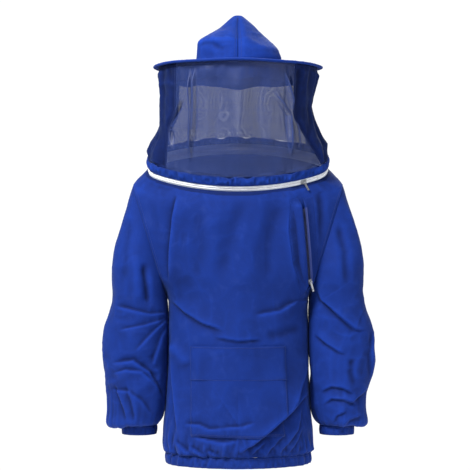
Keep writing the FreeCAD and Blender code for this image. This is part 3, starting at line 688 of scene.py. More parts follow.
def weave_group():
    """Woven cloth on the piece's own UV map, which is in metres along the threads, with painted shade in the
    fold hollows and a painted highlight on the ridges.
    """
    group, given, result = shader_group("woven_cloth", [
        ("Colour", "NodeSocketColor", (0.02, 0.05, 0.3, 1)),
        ("Threads per metre", "NodeSocketFloat", 1800.0),
        ("Mottle", "NodeSocketFloat", 0.12),
        ("Fading", "NodeSocketFloat", 0.10),
        ("Roughness", "NodeSocketFloat", 0.85),
    ], [("Colour", "NodeSocketColor"), ("Roughness", "NodeSocketFloat"), ("Height", "NodeSocketFloat")])
    uv = new_node(group, "ShaderNodeUVMap", uv_map="cloth").outputs[0]
    scale = maths(group, "MULTIPLY", given.outputs["Threads per metre"], math.pi / 10)
    warp, weft = (new_node(group, "ShaderNodeTexWave", {"Vector": uv, "Scale": scale, "Distortion": 0.4},
                           bands_direction=way).outputs["Fac"] for way in ("X", "DIAGONAL"))
    cross = maths(group, "MULTIPLY", warp, weft)
    place = object_place(group)
    slub = cloudy(group, uv, 420.0, 3.0)
    patch = cloudy(group, place, 9.0, 4.0)
    crease = cloudy(group, place, 34.0, 5.0, 1.2)
    half = maths(group, "ADD", maths(group, "ADD", patch, crease), -1.0)
    shade = maths(group, "MULTIPLY_ADD", half, given.outputs["Mottle"], 1.0)
    fine = spread(group, slub, 0.93, 1.07, 0.3, 0.7)
    # painted shade and highlight: colour drops to 0.45 in deep fold hollows and rises to 1.22 on ridges
    painted_fold_shade = spread(group, stored(group, "hollow"), 1.22, 0.45, -0.8, 0.8)
    both = maths(group, "MULTIPLY", maths(group, "MULTIPLY", shade, painted_fold_shade), fine)
    tone = new_node(group, "ShaderNodeVectorMath", {0: given.outputs["Colour"], "Scale": both},
                    operation="SCALE").outputs[0]
    amount = maths(group, "MULTIPLY", spread(group, crease, 0.0, 1.0, 0.56, 0.74), given.outputs["Fading"])
    group.links.new(two_tone(group, amount, tone, (0.045, 0.073, 0.22, 1)), result.inputs["Colour"])
    rough = maths(group, "MULTIPLY_ADD", half, 0.12, given.outputs["Roughness"])
    group.links.new(rough, result.inputs["Roughness"])
    group.links.new(maths(group, "ADD", cross, slub), result.inputs["Height"])
    return group


def base_material(name):
    mat = bpy.data.materials.new(name)
    mat.use_nodes = True
    tree = mat.node_tree
    tree.nodes.clear()
    out = tree.nodes.new("ShaderNodeOutputMaterial")
    bsdf = tree.nodes.new("ShaderNodeBsdfPrincipled")
    tree.links.new(bsdf.outputs[0], out.inputs["Surface"])
    return mat, tree, bsdf


def cloth_material(name, colour, threads=1800.0, mottle=0.30, sheen=0.055, bump=0.25):
    """Woven cotton with a faint bloom."""
    mat, tree, bsdf = base_material(name)
    weave = tree.nodes.new("ShaderNodeGroup")
    weave.node_tree = bpy.data.node_groups["woven_cloth"]
    for label, value in (("Colour", (*colour, 1)), ("Threads per metre", threads), ("Mottle", mottle),
                         ("Fading", 0.07), ("Roughness", 0.82)):
        weave.inputs[label].default_value = value
    normal = relief(tree, weave.outputs["Height"], bump, 0.00025)
    feed(tree, bsdf, weave.outputs["Colour"], weave.outputs["Roughness"], normal)
    bsdf.inputs["Sheen Weight"].default_value = sheen
    bsdf.inputs["Sheen Roughness"].default_value = 0.45
    bsdf.inputs["Sheen Tint"].default_value = (0.40, 0.60, 1.0, 1)
    bsdf.inputs["Specular IOR Level"].default_value = 0.10
    return mat


def net_material(name, colour, thread, cell, fuzz=0.42):
    """Knitted net: threads both ways with open holes between them, closer where it doubles."""
    mat, tree, bsdf = base_material(name)
    uv = new_node(tree, "ShaderNodeUVMap", uv_map="cloth").outputs[0]
    parts = new_node(tree, "ShaderNodeSeparateXYZ", {0: uv})
    streak_at = new_node(tree, "ShaderNodeVectorMath", {0: uv, 1: (2.0, 150.0, 1.0)},
                         operation="MULTIPLY").outputs[0]
    streak = cloudy(tree, streak_at, 1.0, 3.0)
    width = spread(tree, streak, thread / cell * 0.90, thread / cell * 1.12, 0.35, 0.65)
    covers = []
    for axis in ("X", "Y"):
        part = maths(tree, "FRACT", maths(tree, "MULTIPLY", parts.outputs[axis], 1.0 / cell))
        covers.append(maths(tree, "LESS_THAN", part, width))
    thread_on = maths(tree, "MAXIMUM", *covers)
    sharp = maths(tree, "ABSOLUTE", stored(tree, "hollow"))
    least = spread(tree, sharp, fuzz, 0.92, 0.25, 0.9)
    tree.links.new(spread(tree, thread_on, least, 1.0), bsdf.inputs["Alpha"])
    shade = two_tone(tree, streak, darker(colour, 0.6), darker(colour, 1.0))
    feed(tree, bsdf, shade, spread(tree, streak, 0.5, 0.75))
    return mat


def tape_material(name, colour):
    """Woven zip tape with a fine rib along its length."""
    mat, tree, bsdf = base_material(name)
    place = object_place(tree)
    rib = new_node(tree, "ShaderNodeTexWave", {"Vector": place, "Scale": 190.0, "Distortion": 1.0},
                   bands_direction="Z").outputs["Fac"]
    patch = cloudy(tree, place, 60.0, 4.0)
    shade = two_tone(tree, patch, darker(colour, 0.8), darker(colour, 1.0))
    feed(tree, bsdf, shade, spread(tree, patch, 0.6, 0.8), relief(tree, rib, 0.4, 0.0003))
    bsdf.inputs["Sheen Weight"].default_value = 0.2
    return mat


def hard_material(name, colour, metallic, rough):
    """Cast or moulded small parts with fine scuffs."""
    mat, tree, bsdf = base_material(name)
    place = object_place(tree)
    scuff = cloudy(tree, place, 900.0, 5.0)
    shade = two_tone(tree, cloudy(tree, place, 140.0, 3.0), darker(colour, 0.72), darker(colour, 1.0))
    feed(tree, bsdf, shade, spread(tree, scuff, rough - 0.1, rough + 0.14, 0.3, 0.7),
         relief(tree, scuff, 0.15, 0.0002))
    bsdf.inputs["Metallic"].default_value = metallic
    return mat


def material(name):
    return bpy.data.materials[name]


def wear(obj, mat):
    obj.data.materials.clear()
    obj.data.materials.append(material(mat))


def place_piece(obj, body, mat, nodes):
    """Gives a finished piece its cloth, its body and the CAD nodes that it stands for."""
    if mat:
        wear(obj, mat)
    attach(obj, body)
    if nodes:
        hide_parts(*nodes)
    return obj


# ------------------------------------------------------------------ repeated small things
def repeat_tree(name, material_name, tooth):
    """Geometry nodes that set one small part at an even pitch along a line."""
    tree = bpy.data.node_groups.new(name, "GeometryNodeTree")
    face = tree.interface
    face.new_socket("Geometry", in_out="INPUT", socket_type="NodeSocketGeometry")
    for label, value in (("Pitch", 0.003), ("Length", 0.002), ("Width", 0.0006), ("Height", 0.0004)):
        socket = face.new_socket(label, in_out="INPUT", socket_type="NodeSocketFloat")
        socket.default_value = value
    face.new_socket("Geometry", in_out="OUTPUT", socket_type="NodeSocketGeometry")
    given = tree.nodes.new("NodeGroupInput")
    result = tree.nodes.new("NodeGroupOutput")
    curve = new_node(tree, "GeometryNodeMeshToCurve", {"Mesh": given.outputs["Geometry"]}).outputs[0]
    points = new_node(tree, "GeometryNodeCurveToPoints", {"Curve": curve, "Length": given.outputs["Pitch"]},
                      mode="LENGTH")
    size = new_node(tree, "ShaderNodeCombineXYZ", {0: given.outputs["Width"], 1: given.outputs["Height"],
                                                   2: given.outputs["Length"]}).outputs[0]
    if tooth:
        part = new_node(tree, "GeometryNodeMeshCube", {"Size": size}).outputs["Mesh"]
    else:
        ball = new_node(tree, "GeometryNodeMeshUVSphere", {"Segments": 6, "Rings": 4, "Radius": 0.5})
        part = new_node(tree, "GeometryNodeTransform",
                        {"Geometry": ball.outputs["Mesh"], "Scale": size}).outputs[0]
    instances = new_node(tree, "GeometryNodeInstanceOnPoints", {
        "Points": points.outputs["Points"], "Instance": part,
        "Rotation": points.outputs["Rotation"]}).outputs[0]
    real = new_node(tree, "GeometryNodeRealizeInstances", {"Geometry": instances}).outputs[0]
    done = new_node(tree, "GeometryNodeSetMaterial",
                    {"Geometry": real, "Material": material(material_name)}).outputs[0]
    tree.links.new(done, result.inputs[0])
    return tree


def along_lines(name, lines, tree, pitch, length, width, height):
    """One plain mesh of small parts repeated along lines of points (closed where flagged)."""
    verts, edges = [], []
    for line, closed in lines:
        start = len(verts)
        verts.extend(tuple(float(c) for c in q) for q in line)
        count = len(line)
        edges.extend((start + k, start + k + 1) for k in range(count - 1))
        if closed:
            edges.append((start + count - 1, start))
    mesh = bpy.data.meshes.new(name)
    mesh.from_pydata(verts, edges, [])
    obj = bpy.data.objects.new(name, mesh)
    bpy.context.scene.collection.objects.link(obj)
    mod = obj.modifiers.new("repeat", "NODES")
    mod.node_group = tree
    values = {"Pitch": pitch, "Length": length, "Width": width, "Height": height}
    for item in tree.interface.items_tree:
        if item.item_type == "SOCKET" and item.in_out == "INPUT" and item.name in values:
            mod[item.identifier] = values[item.name]
    apply_modifiers(obj)
    return obj


# ------------------------------------------------------------------ settings shown in the panel
class JacketSettings(bpy.types.PropertyGroup):
    cloth: bpy.props.FloatVectorProperty(
        name="Cloth", description="Colour of the jacket's cloth", subtype="COLOR",
        default=(0.0032, 0.0184, 0.1430))
    hood_cloth: bpy.props.FloatVectorProperty(
        name="Hat cloth", description="Colour of the hat's and veil's cloth", subtype="COLOR",
        default=(0.0039, 0.0245, 0.1860))
    net: bpy.props.FloatVectorProperty(
        name="Net", description="Colour of the veil's net", subtype="COLOR", default=(0.0018, 0.0205, 0.132))
    tape: bpy.props.FloatVectorProperty(
        name="Zip tape", description="Colour of the white zip tape", subtype="COLOR",
        default=(0.78, 0.85, 0.96))
    net_cell: bpy.props.FloatProperty(
        name="Net cell", description="Distance between the net's threads", default=0.0010, subtype="DISTANCE")
    net_thread: bpy.props.FloatProperty(
        name="Net thread", description="Width of the net's threads", default=0.00031, subtype="DISTANCE")
    stitch_pitch: bpy.props.FloatProperty(
        name="Stitch", description="Length of one topstitch", default=0.0034, subtype="DISTANCE")
    tooth_pitch: bpy.props.FloatProperty(
        name="Zip tooth pitch", description="Distance between zip teeth", default=0.0026, subtype="DISTANCE")


class JACKET_OT_materials(bpy.types.Operator):
    """Makes the cloths, net, tapes and metals"""
    bl_idname = "jacket.materials"
    bl_label = "Cloths and finishes"

    def execute(self, context):
        s = context.scene.jacket
        weave_group()
        cloth_material("jacket_twill", s.cloth)
        cloth_material("hat_twill", s.hood_cloth, mottle=0.34)
        # the side panels' cloth is the hat cloth at a third of its brightness: painted shade from the brim
        cloth_material("veil_twill_painted_shade", [0.32 * c for c in s.hood_cloth], mottle=0.34)
        # the valance's cloth is the hat cloth made about three times brighter: painted light against the
        # brim's shadow
        cloth_material("valance_twill_painted_light", (0.004, 0.060, 0.520), mottle=0.34, sheen=0.02)
        cloth_material("sweatband_drill", (0.014, 0.027, 0.10), threads=900, bump=0.5)
        cloth_material("hat_elastic_knit", (0.023, 0.041, 0.14), threads=700, bump=0.6)
        net_material("veil_net", s.net, s.net_thread, s.net_cell)
        tape_material("white_tape", s.tape)
        tape_material("blue_tape", [1.1 * c for c in s.cloth])
        hard_material("white_teeth", (0.90, 0.91, 0.95), 0.0, 0.45)
        hard_material("blue_teeth", (0.007, 0.016, 0.086), 0.0, 0.35)
        hard_material("zinc", (0.42, 0.43, 0.45), 1.0, 0.32)
        hard_material("blue_thread", (0.009, 0.025, 0.145), 0.0, 0.7)
        repeat_tree("thread_stitches", "blue_thread", False)
        repeat_tree("white_teeth_row", "white_teeth", True)
        repeat_tree("blue_teeth_row", "blue_teeth", True)
        return {"FINISHED"}


def stitch_line(name, lines, body):
    pitch = bpy.context.scene.jacket.stitch_pitch
    tree = bpy.data.node_groups["thread_stitches"]
    obj = along_lines(name, lines, tree, pitch, pitch * 0.72, 0.0008, 0.0008)
    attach(obj, body)
    return obj


def paint_neck_edge_shadow(obj):
    """Paints the tape's shadow on the turned edge beneath the neck zip, by marking it as the deepest hollow,
    which the cloth colours darker.
    """
    co = np.array([v.co for v in obj.data.vertices])
    off = (co[:, 2] - NECK_Z) * math.cos(NECK_TILT) - co[:, 1] * math.sin(NECK_TILT)
    values = np.empty(len(co), dtype=np.float32)
    held = obj.data.attributes["hollow"].data
    held.foreach_get("value", values)
    # painted shadow: the band under the tape gets the deepest hollow value
    values = np.where(off > -0.0105, 1.0, values).astype(np.float32)
    held.foreach_set("value", values)


class JACKET_OT_torso(bpy.types.Operator):
    """Makes the front and back panels, with their folds and hem gathers"""
    bl_idname = "jacket.torso"
    bl_label = "Torso panels"

    def execute(self, context):
        for name, node, back in (("front_body", "front_panel", False), ("back_body", "back_panel", True)):
            p, t, reach = torso_grid(226, 190, back)
            obj = thicken(grid_mesh(name, p), CLOTH)
            paint_neck_edge_shadow(obj)
            place_piece(obj, "jacket", "jacket_twill", [node])
            n = normals(p)
            rows = [k for k in range(len(t)) if reach[k] < 1.0]
            lines = []
            for col in (3, 186):
                line = [p[k, col] + n[k, col] * STITCH_LIFT for k in rows]
                if len(line) > 2:
                    lines.append((line, False))
            for col in (2, 187):
                line = [p[k, col] + n[k, col] * STITCH_LIFT for k in range(4, rows[0] - 2)]
                lines.append((line, False))
            stitch_line(name + "_stitches", lines, "jacket")
        return {"FINISHED"}


def hem_grid(rows, cols):
    """The casing round the elastic, pulled into the same gathers as the cloth above it."""
    run = np.linspace(0, 4, cols, endpoint=False)
    x, y = oval(0.1760, 0.1260, run)
    t = np.linspace(0, 1, rows)[:, None]
    z = HEM_Z + (HEM_TOP + 0.001 - HEM_Z) * t
    p = np.stack([np.broadcast_to(x, (rows, cols)), np.broadcast_to(y, (rows, cols)),
                  np.broadcast_to(z, (rows, cols))], -1)
    n = normals(p, wrap=True)
    swell = np.sin(math.pi * t)
    crimp = 0.0012 * noise(p * [1, 1, 0.5], 0.006, 82)
    return p + n * (hem_gathers(p) * (0.75 + 0.25 * t) + crimp + 0.0022 * swell)[..., None]


class JACKET_OT_hem(bpy.types.Operator):
    """Makes the gathered casing round the elastic hem"""
    bl_idname = "jacket.hem"
    bl_label = "Hem casing"

    def execute(self, context):
        p = hem_grid(13, 620)
        obj = thicken(grid_mesh("hem_casing", p, wrap=True), 0.0032)
        place_piece(obj, "jacket", "jacket_twill", ["waist_casing", "waist_elastic"])
        n = normals(p, wrap=True)
        stitch_line("hem_stitches", [((p + n * STITCH_LIFT)[10], True)], "jacket")
        return {"FINISHED"}


def pocket_grid(rows, cols, z0, z1, lift, mouth):
    """A patch that follows the draped front between two heights, standing off by lift."""
    zs = np.array([s[0] for s in TORSO])
    t0 = np.interp(z0, zs, SECTION_KEYS)
    t1 = np.interp(z1, zs, SECTION_KEYS)
    t = np.linspace(t0, t1, rows)
    s = np.linspace(-1, 1, cols)
    fine = np.linspace(0, 0.9, 400)
    run = np.empty((rows, cols))
    for k in range(rows):
        x = torso_shape(fine, np.full(fine.shape, t[k]))[:, 0]
        run[k] = np.sign(s) * np.interp(np.abs(s) * 0.111, x, fine)
    tt = np.broadcast_to(t[:, None], run.shape)
    p = torso_shape(run, tt)
    n = normals(p)
    height = torso_height(p, run, tt, False)
    share = (t - t0) / (t1 - t0)
    rim = np.minimum(smooth((1 - np.abs(s))[None, :] / 0.10), smooth(share / 0.04)[:, None])
    sag = 0.0025 * noise(p, (0.05, 0.1, 0.05), 91)
    gape = mouth * smooth(share)[:, None] ** 3 * (1 - s[None, :] ** 2)
    return p + n * (height + lift + (0.002 + sag) * rim + gape)[..., None]


class JACKET_OT_pocket(bpy.types.Operator):
    """Makes the wide front pocket and its deep top band"""
    bl_idname = "jacket.pocket"
    bl_label = "Pocket"

    def execute(self, context):
        body = pocket_grid(70, 84, -0.590, -0.375, 0.0016, 0.004)
        pocket = thicken(grid_mesh("pocket", body), CLOTH)
        place_piece(pocket, "jacket", "jacket_twill", ["pocket"])
        band = pocket_grid(28, 84, -0.457, -0.3745, 0.0030, 0.004)
        obj = thicken(grid_mesh("pocket_top_band", band), CLOTH)
        place_piece(obj, "jacket", "jacket_twill", ["pocket_band"])
        up = normals(body) * STITCH_LIFT
        upb = normals(band) * STITCH_LIFT
        lines = [((body + up)[:, 1], False), ((body + up)[:, -2], False), ((body + up)[1, :], False),
                 ((body + up)[2, :], False), ((band + upb)[1, :], False), ((band + upb)[-2, :], False)]
        stitch_line("pocket_stitches", lines, "jacket")
        return {"FINISHED"}


class JACKET_OT_sleeves(bpy.types.Operator):
    """Makes both full sleeves and their gathered elastic cuffs"""
    bl_idname = "jacket.sleeves"
    bl_label = "Sleeves and cuffs"

    def execute(self, context):
        for side, name in ((1, "left_sleeve"), (-1, "right_sleeve")):
            p, flip = sleeve_grid(side, 200, 146)
            obj = thicken(grid_mesh(name + "_cloth", p, wrap=True, flip=flip), CLOTH)
            wear(obj, "jacket_twill")
            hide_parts(name, name + "_head")
            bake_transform(obj)
            cuff = name.replace("sleeve", "cuff")
            a = np.linspace(0, 2 * math.pi, 190, endpoint=False)
            t = np.linspace(0, 1, 12)[:, None]
            z = CUFF_FOOT + (CUFF_TOP + 0.001 - CUFF_FOOT) * t + 0 * a
            ring = np.stack([side * CUFF_X + 0.0425 * np.cos(a) + 0 * t, 0.0425 * np.sin(a) + 0 * t, z], -1)
            n = normals(ring, wrap=True)
            upright = ring * [1, 1, 0.3]
            wave = 0.6 * noise(upright, 0.0105, 95 + side) + 0.4 * noise(upright, 0.0055, 96)
            swell = np.sin(math.pi * t)
            ring = ring + n * (0.0034 * wave * (0.6 + 0.4 * swell) + 0.0014 * swell)[..., None]
            band = thicken(grid_mesh(cuff + "_band", ring, wrap=True), 0.0026)
            place_piece(band, name, "jacket_twill", [cuff + "_casing", cuff + "_elastic"])
            seam = (ring + normals(ring, wrap=True) * STITCH_LIFT)[9]
            stitch_line(cuff + "_stitches", [(seam, True)], name)
        return {"FINISHED"}


# ------------------------------------------------------------------ zips
def strip_frame(points, count):
    """Centre line, side direction and outward direction along a curved strip of points."""
    mid = points.mean(0)
    _, _, axes = np.linalg.svd(points - mid, full_matrices=False)
    along = (points - mid) @ axes[0]
    if axes[0][2] > 0:
        along, axes = -along, -axes
    edges = np.linspace(along.min(), along.max(), count)
    width = (edges[1] - edges[0]) * 2.5
    line = np.array([points[np.abs(along - e) < width].mean(0) for e in edges])
    fit = [np.polyfit(edges, line[:, k], 4) for k in range(3)]
    line = np.stack([np.polyval(f, edges) for f in fit], -1)
    tangent = np.gradient(line, axis=0)
    tangent /= np.linalg.norm(tangent, axis=1, keepdims=True)
    side = axes[1] - (tangent @ axes[1])[:, None] * tangent
    side /= np.linalg.norm(side, axis=1, keepdims=True)
    out = np.cross(side, tangent)
    out = out * np.sign((out[:, 1] * -1).sum())
    return line, side, out


def torso_samples():
    mesh = bpy.data.objects["front_body"].data
    co = np.array([v.co for v in mesh.vertices])
    return co[(co[:, 0] > 0.08) & (co[:, 1] < 0) & (co[:, 2] > -0.32) & (co[:, 2] < 0.06)]


def nearest(cloud, points):
    """The cloud's surface near each point: a weighted mean of its closest samples."""
    out = np.empty_like(points)
    for k in range(0, len(points), 200):
        d = np.linalg.norm(points[k:k + 200, None, :] - cloud[None, :, :], axis=2)
        pick = np.argsort(d, axis=1)[:, :8]
        near = cloud[pick]
        w = 1 / (np.take_along_axis(d, pick, 1) + 0.002) ** 2
        out[k:k + 200] = (near * w[..., None]).sum(1) / w.sum(1, keepdims=True)
    return out


def teeth_path(line, across, offset):
    inset = slice(2, -2)
    return [(line[inset] + across[inset] * offset, False), (line[inset] - across[inset] * offset, False)]


def finish_node(node, mat):
    """Gives a CAD node that keeps its shape its own finish."""
    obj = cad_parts[node]
    if not obj.material_slots:
        obj.data.materials.append(material(mat))
    for held in obj.material_slots:
        held.material = material(mat)


class JACKET_OT_zips(bpy.types.Operator):
    """Finishes the neck zip and the side zip, with their teeth, sliders and pulls"""
    bl_idname = "jacket.zips"
    bl_label = "Zips"

    def execute(self, context):
        s = context.scene.jacket
        teeth = bpy.data.node_groups["white_teeth_row"]
        for name, node, body, n in (("upper_teeth", "upper_zip_teeth", "hood", 0.00215),
                                    ("lower_teeth", "lower_zip_teeth", "jacket", -0.00215)):
            run = np.linspace(0, 4, 900, endpoint=False)
            row = [(ring_points(run, n, -0.0005), True)]
            obj = along_lines(name, row, teeth, s.tooth_pitch, 0.0023, 0.0036, 0.0034)
            place_piece(obj, body, None, [node])
        for name, node, body, n0, n1 in (("upper_tape", "upper_zip_tape", "hood", 0.00375, 0.01375),
                                         ("lower_tape", "lower_zip_tape", "jacket", -0.01375, -0.00375)):
            run = np.linspace(0, 4, 720, endpoint=False)
            p = np.array([ring_points(run, n) for n in np.linspace(n0, n1, 9)])
            obj = thicken(grid_mesh(name, p, wrap=True), 0.0009)
            place_piece(obj, body, "white_tape", [node])
            seam = (p + normals(p, wrap=True) * 0.0002)[2]
            stitch_line(name + "_stitches", [(seam, True)], body)
        self.side_lips()
        finish_node("side_zip_tapes", "blue_tape")
        for node in ("neck_zip_stop", "neck_slider", "neck_pull_pin", "neck_pull",
                     "side_slider", "side_pull_pin", "side_pull"):
            finish_node(node, "zinc")
        return {"FINISHED"}

    def side_lips(self):
        """Two soft lips of cloth that rise from the front on each side of the side zip."""
        tapes = np.array([v.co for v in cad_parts["side_zip_tapes"].data.vertices])
        line, across, out = strip_frame(tapes, 70)
        front = torso_samples()
        spare = 8
        head = line[0] - np.arange(spare, 0, -1)[:, None] * (line[1] - line[0])
        foot = line[-1] + np.arange(1, spare + 1)[:, None] * (line[-1] - line[-2])
        mid_line, mid_across = line, across
        line = np.concatenate([head, line, foot])
        across = np.concatenate([np.repeat(across[:1], spare, 0), across, np.repeat(across[-1:], spare, 0)])
        out = np.concatenate([np.repeat(out[:1], spare, 0), out, np.repeat(out[-1:], spare, 0)])
        place = np.arange(len(line))
        away = np.maximum(0, np.maximum(spare - place, place - (len(line) - 1 - spare)))
        s = np.concatenate([np.linspace(-1, -0.16, 26), np.linspace(0.16, 1, 26)])
        for part, name in ((s[:26], "inner"), (s[26:], "outer")):
            grid = np.zeros((len(line), len(part), 3))
            for j, share in enumerate(part):
                grid[:, j] = line + across * (0.033 * share)
            rise = 1 - smooth((np.abs(part) - 0.16) / 0.84)
            ends = 1 - smooth(away / spare)
            flat = grid.reshape(-1, 3)
            near = nearest(front, flat).reshape(grid.shape)
            lift = (rise[None, :] * ends[:, None])[..., None]
            p = near * (1 - lift) + (grid + out[:, None, :] * 0.0004) * lift
            n = normals(p)
            flip = (n * out[:, None, :]).sum() < 0
            p = p + out[:, None, :] * 0.0012
            obj = thicken(grid_mesh("side_zip_lip_" + name, p, flip=flip), CLOTH)
            nodes = ["side_zip_placket"] if name == "inner" else []
            place_piece(obj, "jacket", "jacket_twill", nodes)
        row = teeth_path(mid_line, mid_across, 0.00215)
        tree = bpy.data.node_groups["blue_teeth_row"]
        obj = along_lines("side_zip_teeth_rows", row, tree, 0.0026, 0.0014, 0.0024, 0.0026)
        place_piece(obj, "jacket", None, ["side_zip_teeth"])


# ------------------------------------------------------------------ veil
def net_edge(z, side):
    """Half width of the net at a height: the side cloth's sewn edge slants outward low down."""
    if side < 0:
        return np.interp(z, [0.06, 0.147, 0.186, 0.30], [0.172, 0.166, 0.149, 0.147])
    return np.interp(z, [0.06, 0.078, 0.167, 0.19, 0.30], [0.200, 0.190, 0.132, 0.130, 0.134])


def veil_shape(run, t):
    keys = np.linspace(0, 1, len(VEIL))
    sec = spline(keys, np.array(VEIL), t)
    x, v = oval(sec[..., 2], sec[..., 3], run)
    return tilted(x, v, sec[..., 0], sec[..., 1], sec[..., 4])


def veil_split(t, side, back):
    """The run at which the net meets the side cloth, for each row."""
    out = np.empty(t.shape)
    fine = np.linspace(0.2, 1.0, 300)
    for k, value in enumerate(t):
        around = 2.0 - fine if back else fine
        p = veil_shape(around, np.full(fine.shape, value))
        gap = p[:, 0] - net_edge(p[:, 2], side if not back else -1)
        crossing = np.nonzero(gap > 0)[0]
        out[k] = fine[crossing[0]] if len(crossing) else 0.97
    soft = np.convolve(np.pad(out, 4, mode="edge"), np.ones(9) / 9, mode="valid")
    return soft


NET_PLEATS = [
    ("ridge", 3.5, 15.0, [(-116, 285), (-110, 190), (-112, 100), (-112, 60)]),
    ("ridge", 3.5, 12.0, [(-104, 288), (-103, 200), (-106, 110)]),
    ("ridge", 4.5, -13.0, [(-128, 215), (-166, 150), (-152, 96)]),
    ("ridge", 3.5, 15.0, [(84, 232), (120, 174), (124, 108), (126, 70)]),
    ("ridge", 4.0, 13.0, [(108, 285), (128, 200), (140, 130), (150, 80)]),
    ("ridge", 3.5, -12.0, [(120, 280), (138, 195), (152, 130)]),
    ("ridge", 16.0, 6.0, [(0, 290), (6, 180), (2, 70)]),
    ("ridge", 14.0, -6.0, [(50, 290), (44, 190), (60, 80)]),
    ("ridge", 14.0, -6.0, [(-54, 290), (-48, 190), (-60, 80)]),
]
REAR_PLEATS = [
    ("ridge", 5.0, 10.0, [(-110, 285), (-116, 190), (-120, 120)]),
    ("ridge", 5.0, 10.0, [(118, 285), (112, 200), (120, 125)]),
    ("ridge", 18.0, 7.0, [(-40, 290), (-36, 200), (-40, 130)]),
    ("ridge", 18.0, -7.0, [(40, 290), (44, 200), (36, 130)]),
]


def veil_relief(p, t, seed, flute):
    """Standing height of the veil: flutes that hang from the brim and gather into the neck band."""
    line = np.stack([p[..., 0], p[..., 1], p[..., 2] * 0.16], -1)
    top = smooth((1 - t) / 0.05)
    foot = smooth(t / 0.06)
    height = flute * noise(line, 0.034, seed) * top * foot
    height += 0.35 * flute * noise(line, 0.015, seed + 1) * top * foot
    at_foot = np.stack([p[..., 0], p[..., 1], p[..., 2] * 0.2], -1)
    at_brim = np.stack([p[..., 0], p[..., 1], p[..., 2] * 0.3], -1)
    height += 0.0016 * noise(at_foot, 0.009, seed + 2) * np.exp(-t / 0.10)
    height += 0.0030 * noise(at_brim, 0.012, seed + 3) * np.exp(-(1 - t) / 0.10)
    return height


